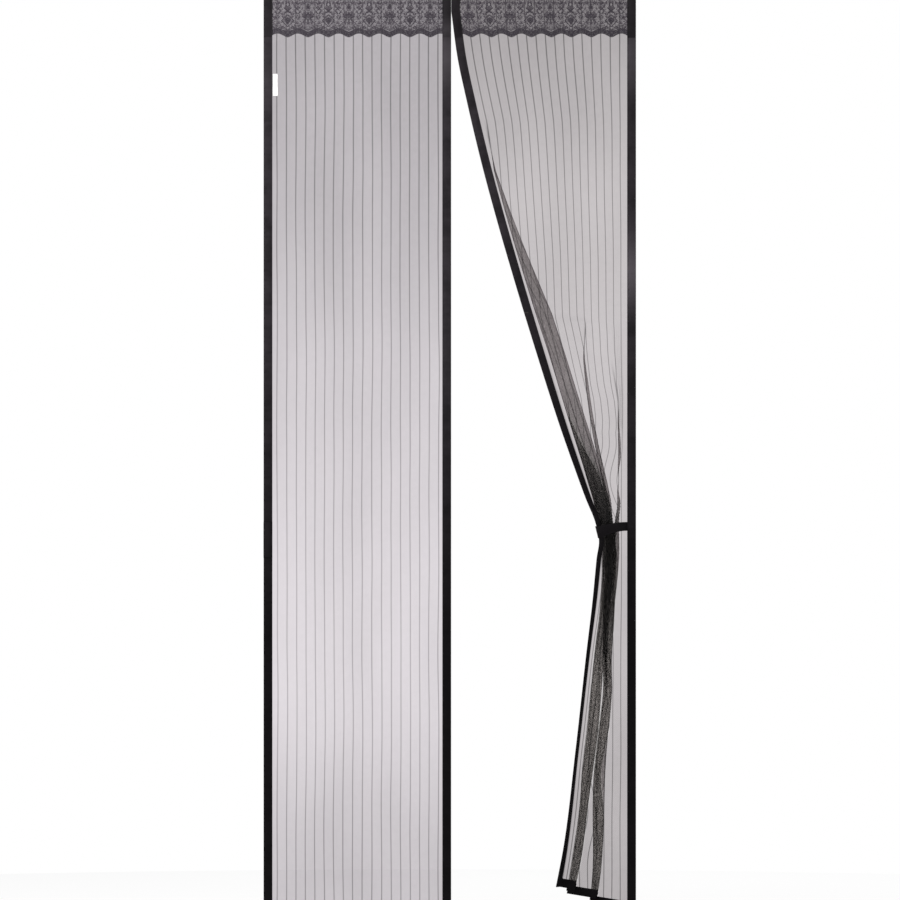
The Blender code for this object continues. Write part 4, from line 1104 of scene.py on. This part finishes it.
# %% Lace outlines
SCALLOP_HEIGHT = 0.0085
SCALLOP_ROUNDNESS = 0.8
LACE_GAP_MARGIN = 0.004
CRESCENT_ABOVE_EDGE = 0.0245
CRESCENT_HALF_WIDTH = 0.0145
CRESCENT_THICKNESS = 0.0042
CRESCENT_SAG = 0.0060
LOW_PETAL = {"beside": 0.0155, "above_edge": 0.0430, "length": 0.017, "width": 0.007, "lean": 0.30}
HIGH_PETAL = {"beside": 0.0085, "above_edge": 0.0665, "length": 0.020, "width": 0.0055, "lean": 0.45}
LEAF_POINTEDNESS = 1.4
OUTLINE_FACETS = 14


def scallop_depth(across, first):
    phase = 2 * pi * (across - first) / SCALLOP_PITCH
    return LACE_DEPTH - SCALLOP_HEIGHT * (0.5 - 0.5 * np.cos(phase)) ** SCALLOP_ROUNDNESS


def closed_outline(side, other):
    """One loop of points out along a side and back along the other, which share both ends."""
    return list(map(tuple, side)) + list(map(tuple, other))[-2:0:-1]


def crescent(middle):
    spread = np.linspace(-1, 1, OUTLINE_FACETS)
    outer = LACE_DEPTH - CRESCENT_ABOVE_EDGE - CRESCENT_SAG * spread ** 2
    inner = outer - CRESCENT_THICKNESS * (1 - spread ** 2)
    across = middle + spread * CRESCENT_HALF_WIDTH
    return closed_outline(zip(across, outer), zip(across, inner))


def leaf_sides(across, depth, length, width, lean):
    """The two sides of a pointed leaf that leans from upright, as lines of (across, depth) points."""
    turn = np.linspace(0, pi, OUTLINE_FACETS)
    along = -np.cos(turn) * length / 2
    sides = []
    for side in (-1, 1):
        beside = side * np.sin(turn) ** LEAF_POINTEDNESS * width / 2
        x = across + along * sin(lean) + beside * cos(lean)
        sides.append(np.stack((x, depth - along * cos(lean) + beside * sin(lean)), axis=1))
    return sides


def petal(middle, side, shape):
    across, depth = middle + side * shape["beside"], LACE_DEPTH - shape["above_edge"]
    return closed_outline(*leaf_sides(across, depth, shape["length"], shape["width"], side * shape["lean"]))


def lace_openings(width, first):
    """Outlines of the gaps in the lace: a crescent and four petals to each scallop."""
    openings = []
    for middle in np.arange(first, width, SCALLOP_PITCH):
        openings.append(crescent(middle))
        openings += [petal(middle, side, shape) for side in (-1, 1) for shape in (LOW_PETAL, HIGH_PETAL)]
    return [line for line in openings if all(LACE_GAP_MARGIN < a < width - LACE_GAP_MARGIN for a, _ in line)]


# %% Lace ground
LACE_MIDDLE = (LACE_BACK + LACE_FRONT) / 2
EDGE_STEP = 0.0015


def left_lace_x(across, depth):
    return LEFT_MOUTH + across


def right_lace_x(across, depth):
    reach = RIGHT_MOUTH - free_edge_x(free_edge_depth(depth)) - TAPE_WIDTH
    return RIGHT_MOUTH - across * reach / RIGHT_NET_WIDTH


LACE_STRIPS = {
    "left": {"width": LEFT_NET_WIDTH, "first": 0.035, "lace_x": left_lace_x},
    "right": {"width": RIGHT_NET_WIDTH, "first": 0.0367, "lace_x": right_lace_x},
}


def lace_ground(side, width, first, lace_x):
    """The tulle sheet with its scalloped edge and its gaps."""
    low, high = -CLOTH_TUCK, width + CLOTH_TUCK
    side_depths = np.arange(NET_START, LACE_DEPTH - SCALLOP_HEIGHT, SCALLOP_HEIGHT)
    outline = [(low, NET_START), (high, NET_START)] + [(high, depth) for depth in side_depths[1:]]
    outline += [(a, scallop_depth(a, first)) for a in np.arange(high, low, -EDGE_STEP)]
    builder = bmesh.new()
    edges = []
    for loop in [outline] + lace_openings(width, first):
        verts = [builder.verts.new((a, d, 0)) for a, d in loop]
        edges += [builder.edges.new(pair) for pair in zip(verts, verts[1:] + verts[:1])]
    bmesh.ops.triangle_fill(builder, use_beauty=True, edges=edges)
    builder.verts.index_update()
    places = np.array([v.co[:2] for v in builder.verts])
    faces = [[v.index for v in face.verts] for face in builder.faces]
    builder.free()
    points = [at(lace_x(a, d), LACE_MIDDLE, d) for a, d in places]
    return new_piece(f"{side}_lace_ground", points, faces, places - (first, 0), tulle_ground,
                     "charcoal_lace", f"{side}_lace")


def lace_gap_threads(side, width, first, lace_x):
    """The few threads that cross each gap, as flat patches of very open tulle."""
    points, places, faces = [], [], []
    for line in lace_openings(width, first):
        faces.append(tuple(range(len(points), len(points) + len(line))))
        points += [at(lace_x(a, d), LACE_MIDDLE, d) for a, d in line]
        places += line
    new_piece(f"{side}_lace_gap_threads", points, faces, np.array(places) - (first, 0), open_tulle,
              "charcoal_lace")


lace_grounds = {side: lace_ground(side, **strip) for side, strip in LACE_STRIPS.items()}
for side, strip in LACE_STRIPS.items():
    lace_gap_threads(side, **strip)
    print(f"Lace ground, {side}:", len(lace_grounds[side].data.polygons), "faces")

# %% [markdown]
# Two motifs take turns along the strip: a rosette under a fan, and a bud in a diamond under a crossing.
# Small leaves fill the space between them. A dense border follows the scallops, with two cords above it.
# All of them are leaves, bands and rings, so three outlines draw the whole strip.

# %% Lines for the motifs
BAND_FACETS = 4


def band_sides(start, end, width):
    """The two sides of a straight band between two places."""
    start, end = np.array(start), np.array(end)
    along = (end - start) / np.linalg.norm(end - start)
    beside = np.array((-along[1], along[0])) * width / 2
    line = start + np.linspace(0, 1, BAND_FACETS)[:, None] * (end - start)
    return line - beside, line + beside


def ring_sides(across, depth, radius, width):
    turn = np.linspace(0, 2 * pi, 2 * OUTLINE_FACETS)
    round_line = np.stack((np.cos(turn), np.sin(turn)), axis=1)
    middle = np.array((across, depth))
    return middle + round_line * (radius - width / 2), middle + round_line * (radius + width / 2)


# %% Rosette, bud and spray
ROSETTE_DEPTH = 0.0615
ROSETTE_RINGS = ((1, 0.0, 0.006, 0.006), (8, 0.0078, 0.0085, 0.0048), (16, 0.0138, 0.0022, 0.0020))
FAN = {"apex": 0.0425, "top": 0.0215, "half_width": 0.014, "sag": 0.003, "ribs": 7, "rib_width": 0.0013}
BUD = {"depth": 0.070, "length": 0.014, "width": 0.0115}
DIAMOND = ((0.0, 0.056), (0.014, 0.070), (0.0, 0.084), (-0.014, 0.070))
DIAMOND_BAND = 0.0022
CROSSING = (((-0.009, 0.0405), (0.009, 0.0545)), ((0.009, 0.0405), (-0.009, 0.0545)))
CROSSING_BAND = 0.0026
RING = {"depth": 0.033, "radius": 0.0042, "width": 0.0022}
SPRAY_LEAVES = ((0.030, 0.008), (0.041, 0.009), (0.052, 0.009), (0.062, 0.008))
SPRAY_BESIDE, SPRAY_WIDTH, SPRAY_LEAN = 0.0034, 0.0032, 0.7


def rosette_motif(middle):
    """Rings of leaves, as (count, radius, length, width), below a fan of thin ribs."""
    lines = []
    for count, radius, length, width in ROSETTE_RINGS:
        for turn in np.arange(count) * 2 * pi / count:
            across, depth = middle + radius * sin(turn), ROSETTE_DEPTH - radius * cos(turn)
            lines.append(leaf_sides(across, depth, length, width, turn))
    for share in np.linspace(-1, 1, FAN["ribs"]):
        top = (middle + share * FAN["half_width"], FAN["top"] + FAN["sag"] * share ** 2)
        lines.append(band_sides((middle, FAN["apex"]), top, FAN["rib_width"]))
    return lines


def bud_motif(middle):
    """A bud in a diamond of ribbon, below two crossing bands and a small ring."""
    lines = [leaf_sides(middle, BUD["depth"], BUD["length"], BUD["width"], 0.0)]
    corners = [(middle + across, depth) for across, depth in DIAMOND]
    lines += [band_sides(a, b, DIAMOND_BAND) for a, b in zip(corners, corners[1:] + corners[:1])]
    lines += [band_sides((middle + a, b), (middle + c, d), CROSSING_BAND) for (a, b), (c, d) in CROSSING]
    return lines + [ring_sides(middle, **RING)]


def spray_motif(middle):
    """Small leaves in pairs, between the larger motifs."""
    return [leaf_sides(middle + side * SPRAY_BESIDE, depth, length, SPRAY_WIDTH, side * SPRAY_LEAN)
            for depth, length in SPRAY_LEAVES for side in (-1, 1)]


# %% Lace motifs
RELIEF_BASE = 0.00003
RELIEF = 0.00026
BORDER_LINES = (0.0, 0.0018, 0.0056, 0.0094, 0.0130)
CORD_LINES = ((0.0152, 0.0166), (0.0180, 0.0194))


def lace_lines(width, first):
    """Every raised line of one lace strip, as pairs of sides."""
    low, high = -CLOTH_TUCK, width + CLOTH_TUCK
    across = np.arange(low, high, EDGE_STEP)
    edge = scallop_depth(across, first)
    bands = list(zip(BORDER_LINES, BORDER_LINES[1:])) + list(CORD_LINES)
    lines = [[np.stack((across, edge - rise), axis=1) for rise in band] for band in bands]
    motifs = []
    for number, middle in enumerate(np.arange(first - SCALLOP_PITCH, width + SCALLOP_PITCH, SCALLOP_PITCH)):
        motifs += bud_motif(middle) if number % 2 else rosette_motif(middle)
        motifs += spray_motif(middle + SCALLOP_PITCH / 2)
    return lines + [pair for pair in motifs
                    if all(low < side[:, 0].min() and side[:, 0].max() < high for side in pair)]


def lace_relief(side, width, first, lace_x):
    """Ridges of thread over the ground, one for each pair of lines."""
    points, places, faces = [], [], []
    for one, other in lace_lines(width, first):
        start = len(points)
        for line, height in ((one, RELIEF_BASE), ((one + other) / 2, RELIEF), (other, RELIEF_BASE)):
            points += [at(lace_x(a, d), LACE_MIDDLE + height, d) for a, d in line]
            places += list(line)
        faces += [tuple(start + i for i in face) for face in grid_faces(3, len(one))]
    return new_piece(f"{side}_lace_motifs", points, faces, np.array(places) - (first, 0), satin_stitch,
                     "charcoal_lace")


lace_reliefs = {side: lace_relief(side, **strip) for side, strip in LACE_STRIPS.items()}
print("Lace motifs:", sum(len(piece.data.polygons) for piece in lace_reliefs.values()), "faces")

# %% [markdown]
# ## Tie bands
#
# Each outer seam carries a band of the same woven tape, a little heavier. On the right it goes round the
# gathered net and back to the seam. Its route is the shortest one round the bunch, found as the tangents
# of the cloth at the band's own height. Towards the far side of the bunch it droops, leans out and spreads
# a little, as a soft band does under a pull. The left one isn't in use: it hangs doubled over its seam.

# %% Where the band touches the cloth
TIE_DEPTH = 1.2243
TIE_DROOP = 0.013
TIE_HEIGHT = 0.020
TIE_LEAN, TIE_SPREAD = 0.24, 0.35
TIE_THICKNESS = 0.0007
TIE_BACK = 0.0046
TIE_TOUCH_HEIGHT = 0.012
CLOTH_SAMPLE_STEP = 0.0025
CLOTH_SAMPLE_SPAN = 0.100


def tie_share(x):
    """0 at the outer binding and 1 at the far side of the bunch."""
    bunch = X_RIGHT_START + TIE_PULL
    return np.clip((RIGHT_MOUTH - x) / (RIGHT_MOUTH - bunch), 0.0, 1.0) ** 2


def tie_middle_depth(x):
    return TIE_DEPTH + TIE_DROOP * tie_share(x)


def cloth_at_the_tie():
    """Points of the gathered cloth and of its free binding that the band goes round, seen from above."""
    section = folded_section(BINDING_BACK, BINDING_FRONT)
    inside = right_stations[(right_stations >= 0) & (right_stations <= RIGHT_NET_WIDTH)]
    sampled = []
    for length in np.arange(TIE_DEPTH - TIE_HEIGHT, TIE_DEPTH + CLOTH_SAMPLE_SPAN, CLOTH_SAMPLE_STEP):
        row = fold_row(length, inside)
        mouth, outwards, normal, _ = free_edge_stands(length, length)[0]
        tape = mouth + outwards * section[:, :1] + normal * (section[:, 1:] - NET_MIDDLE)
        sampled += [row, row + row_normals(row) * STRIPE_HEIGHT * 2, tape]
    sampled = np.concatenate(sampled)
    above = tie_middle_depth(sampled[:, 0]) - (SCREEN_TOP - sampled[:, 2])
    upright = sampled[:, :2] + np.outer(TIE_LEAN * tie_share(sampled[:, 0]) * above, (1, 0))
    return upright[np.abs(above) < TIE_TOUCH_HEIGHT]


# %% Tie band round the bunch
TIE_SIDES = 22
TIE_BEARINGS = (-5.0, -178.0)
TIE_BEHIND = 0.0005
BAND_STEP = 0.003
BAND_CORNER = 0.00025


def tie_route():
    """The band's middle line seen from above: out of the outer binding, round the bunch and back."""
    tie_middle = TIE_BACK + TIE_THICKNESS / 2
    mouth = np.array((RIGHT_MOUTH - CLEARANCE, -tie_middle))
    cloth = np.concatenate((cloth_at_the_tie(), mouth[None, :]))
    bearings = np.radians(np.linspace(*TIE_BEARINGS, TIE_SIDES))
    facing = np.stack((np.cos(bearings), np.sin(bearings)), axis=1)
    supports = (cloth @ facing.T).max(axis=0) + CLEARANCE + TIE_THICKNESS / 2 + STRIPE_HEIGHT
    corners = [np.linalg.solve(facing[k:k + 2], supports[k:k + 2]) for k in range(TIE_SIDES - 1)]
    back = -(NET_MIDDLE - TIE_BEHIND - TIE_THICKNESS / 2)
    left = corners[-1][0]
    route = [(RIGHT_MOUTH + CLOTH_TUCK, -tie_middle), mouth]
    route += [corner for corner in corners if corner[0] < RIGHT_MOUTH - 2 * CLEARANCE]
    route += [(left, back - TIE_THICKNESS), (left + TIE_THICKNESS, back), (RIGHT_MOUTH - CLEARANCE, back)]
    return np.array(route)


def evenly_spaced(route, step):
    """A line through the same corners with a point about every step, its headings, and the run along it."""
    run = run_along(route)
    places = np.linspace(0, run[-1], int(run[-1] / step) + 1)
    places = np.unique(np.concatenate((places, run)))
    points = np.stack([np.interp(places, run, column) for column in route.T], axis=1)
    steps = np.gradient(points, axis=0)
    return points, steps / np.linalg.norm(steps, axis=1)[:, None], places


def band_piece(name, node, middles, widths, fronts, width, along):
    """A flat band with softened edges. Widths and fronts are directions across it and out of its face."""
    half, thick, corner = width / 2, TIE_THICKNESS / 2, BAND_CORNER
    section = [(-half, thick - corner), (-half + corner, thick), (0, thick), (half - corner, thick),
               (half, thick - corner), (half, corner - thick), (half - corner, -thick), (0, -thick),
               (corner - half, -thick), (-half, corner - thick)]
    rings = [[m + w * across + f * out for across, out in section]
             for m, w, f in zip(middles, widths, fronts)]
    loft_piece(name, rings, along, woven_tape, "black_binding", node)


route, steps, along = evenly_spaced(tie_route(), BAND_STEP)
fronts = np.column_stack((steps[:, 1], -steps[:, 0], np.zeros(len(steps))))
middles = np.column_stack((route, SCREEN_TOP - tie_middle_depth(route[:, 0])))
share = tie_share(route[:, 0])
upright = np.column_stack((-TIE_LEAN * share, 0 * share, 1 + 0 * share)) * (1 + TIE_SPREAD * share)[:, None]
band_piece("right_tie_loop", "right_tie_band", middles, upright, fronts, TIE_HEIGHT, along)
print(f"Tie band: {along[-1]:.3f} m long, {len(route)} stands")

# %% Unused tie band
STOWED_TIE_LENGTH = 0.082
STOWED_TIE_WIDTH = 0.0205
STOWED_TIE_FOLD_GAP = 0.0004
STOWED_FOLD_FACETS = 10

near = BINDING_FRONT + CLEARANCE + TIE_THICKNESS / 2
far = near + TIE_THICKNESS + STOWED_TIE_FOLD_GAP
radius = (far - near) / 2
upper = TIE_DEPTH - TIE_HEIGHT / 2
lower = upper + STOWED_TIE_LENGTH - radius - TIE_THICKNESS / 2
turns = np.linspace(0, pi, STOWED_FOLD_FACETS)
fold = [((near + far) / 2 - radius * cos(a), lower + radius * sin(a)) for a in turns]
route, steps, along = evenly_spaced(np.array([(near, upper), *fold, (far, upper)]), BAND_STEP)
middles = [at(X_LEFT + TAPE_WIDTH / 2, distance, depth) for distance, depth in route]
fronts = np.column_stack((np.zeros(len(steps)), -steps[:, 1], -steps[:, 0]))
across_x = np.tile((1.0, 0.0, 0.0), (len(route), 1))
band_piece("left_tie_stowed", "left_tie_band", middles, across_x, fronts, STOWED_TIE_WIDTH, along)
print(f"Unused band: {along[-1]:.3f} m long")

# %% [markdown]
# ## Magnets and fastening tapes
#
# Flexible magnet strip is ferrite powder bonded in rubber: dark grey-brown and dull, with the fine grain of
# the powder. It is sewn into the two inner bindings. The right-hand strips are made again here, because
# they have to follow the free edge as closely as the new binding does. The hook and loop tapes behind keep
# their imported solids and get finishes. The hooks are moulded nylon, stubby and faintly glossy, 1.7 mm
# apart, and the loops a dark felt with no shine at all.

# %% Hidden finishes
GRAIN_BUMP = 0.8


def grained_finish(name, dark, light, roughness, scale, height, texture="TexNoise"):
    """A dull solid with a grain of one size in its tone and its bump."""
    material, tree, shader = new_finish(name, dark, roughness)
    space = add_node(tree, "TexCoord").outputs["Object"]
    grain = add_node(tree, texture, {"Vector": space, "Scale": scale})
    tone = add_node(tree, "ValToRGB", {"Fac": grain})
    for stop, colour in zip(tone.color_ramp.elements, (dark, light)):
        stop.color = hex_to_linear(colour)
    bump = add_node(tree, "Bump", {"Height": grain, "Strength": GRAIN_BUMP, "Distance": height})
    feed(shader, {"Base Color": tone, "Normal": bump})
    return material


bonded_ferrite = grained_finish("bonded_ferrite_strip", "#2e2a28", "#3a3532", 0.6, 800, 0.0001)
loop_pile = grained_finish("nylon_loop_pile_black", "#131314", "#242426", 0.9, 500, 0.0006)
hook_field = grained_finish("moulded_nylon_hooks_black", "#161617", "#2a2a2c", 0.4, 600, 0.0008, "TexVoronoi")
hidden = {"loop_tape": loop_pile, "hook_tape": hook_field, "left_magnet": bonded_ferrite}
for name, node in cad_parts.items():
    for words, material in hidden.items():
        if words in name:
            node.material_slots[0].material = material
print("Finishes for", len(hidden), "kinds of hidden piece")

# %% Magnets in the free binding
MAGNET_COUNT = 13
MAGNET_LENGTH = 0.145
MAGNET_WIDTH = 0.010
MAGNET_THICKNESS = 0.0010
MAGNET_SPACING = 0.0072
MAGNETS_START = 0.1125

outer_side = TAPE_WIDTH - TAPE_THICKNESS - CLEARANCE
inner_side = outer_side - MAGNET_WIDTH
middle = (BINDING_BACK + BINDING_FRONT) / 2 - NET_MIDDLE
back, front = middle - MAGNET_THICKNESS / 2, middle + MAGNET_THICKNESS / 2
section = ((inner_side, back), (outer_side, back), (outer_side, front), (inner_side, front))
for number in range(MAGNET_COUNT):
    start = MAGNETS_START + number * (MAGNET_LENGTH + MAGNET_SPACING)
    rings = [[mouth + outwards * place + normal * away for place, away in section]
             for mouth, outwards, normal, _ in free_edge_stands(start, start + MAGNET_LENGTH)]
    along = np.linspace(start, start + MAGNET_LENGTH, len(rings))
    name = f"right_magnet_{number + 1:02d}"
    loft_piece(f"{name}_strip", rings, along, bonded_ferrite, "magnet_strip", name)
print(MAGNET_COUNT, "magnets follow the free edge")

# %% [markdown]
# ## Label
#
# A bare satin label is caught in the left seam. It is polyester ribbon, white with a soft gloss from its
# long floating threads, whose rows show as faint lines. They are drawn 0.9 mm apart, coarser than they
# are. Its free edge lifts a little because the seam holds only one side.

# %% Label finish
RIBBON_ROWS = {"Scale": 350.0, "Distortion": 0.5}
RIBBON_RELIEF = 0.0001

woven_satin, tree, shader = new_finish("woven_satin_ribbon_white", "#e9e7e6", 0.35, Sheen_Weight=0.3)
place = add_node(tree, "UVMap", uv_map=CLOTH_MAP)
rows = add_node(tree, "TexWave", {"Vector": place, **RIBBON_ROWS}, bands_direction="Y").outputs["Fac"]
tint = add_node(tree, "Mix", {0: rows, 6: "#e2e0df", 7: "#efedec"}, data_type="RGBA")
bump = add_node(tree, "Bump", {"Height": rows, "Strength": 0.3, "Distance": RIBBON_RELIEF})
feed(shader, {"Base Color": tint.outputs[2], "Normal": bump})
print("Ribbon finish ready")

# %% Label
LABEL_DEPTH = 0.1917
LABEL_LENGTH = 0.050
LABEL_WIDTH = 0.012
LABEL_TUCK = 0.005
LABEL_LIFT = 0.0016
LABEL_CLEAR = 0.0002
LABEL_COLUMNS, LABEL_ROWS = 18, 26

across, down = np.meshgrid(np.linspace(-LABEL_TUCK, LABEL_WIDTH, LABEL_COLUMNS),
                           np.linspace(0, LABEL_LENGTH, LABEL_ROWS))
curl = np.clip(across / LABEL_WIDTH, 0, 1) ** 2 * (1 + 0.5 * np.cos(2 * pi * down / LABEL_LENGTH))
distance = LACE_BACK + LABEL_CLEAR + LABEL_LIFT * curl
grid = np.stack((LEFT_MOUTH + across, -distance, SCREEN_TOP - LABEL_DEPTH - down), axis=-1)
places = np.stack((across, down), axis=-1)
label = sheet_piece("side_label_ribbon", grid, places, woven_satin, "white_label", "side_label")
print("Label", LABEL_LENGTH * 1000, "mm long")

# %% [markdown]

print("The screen is dressed")
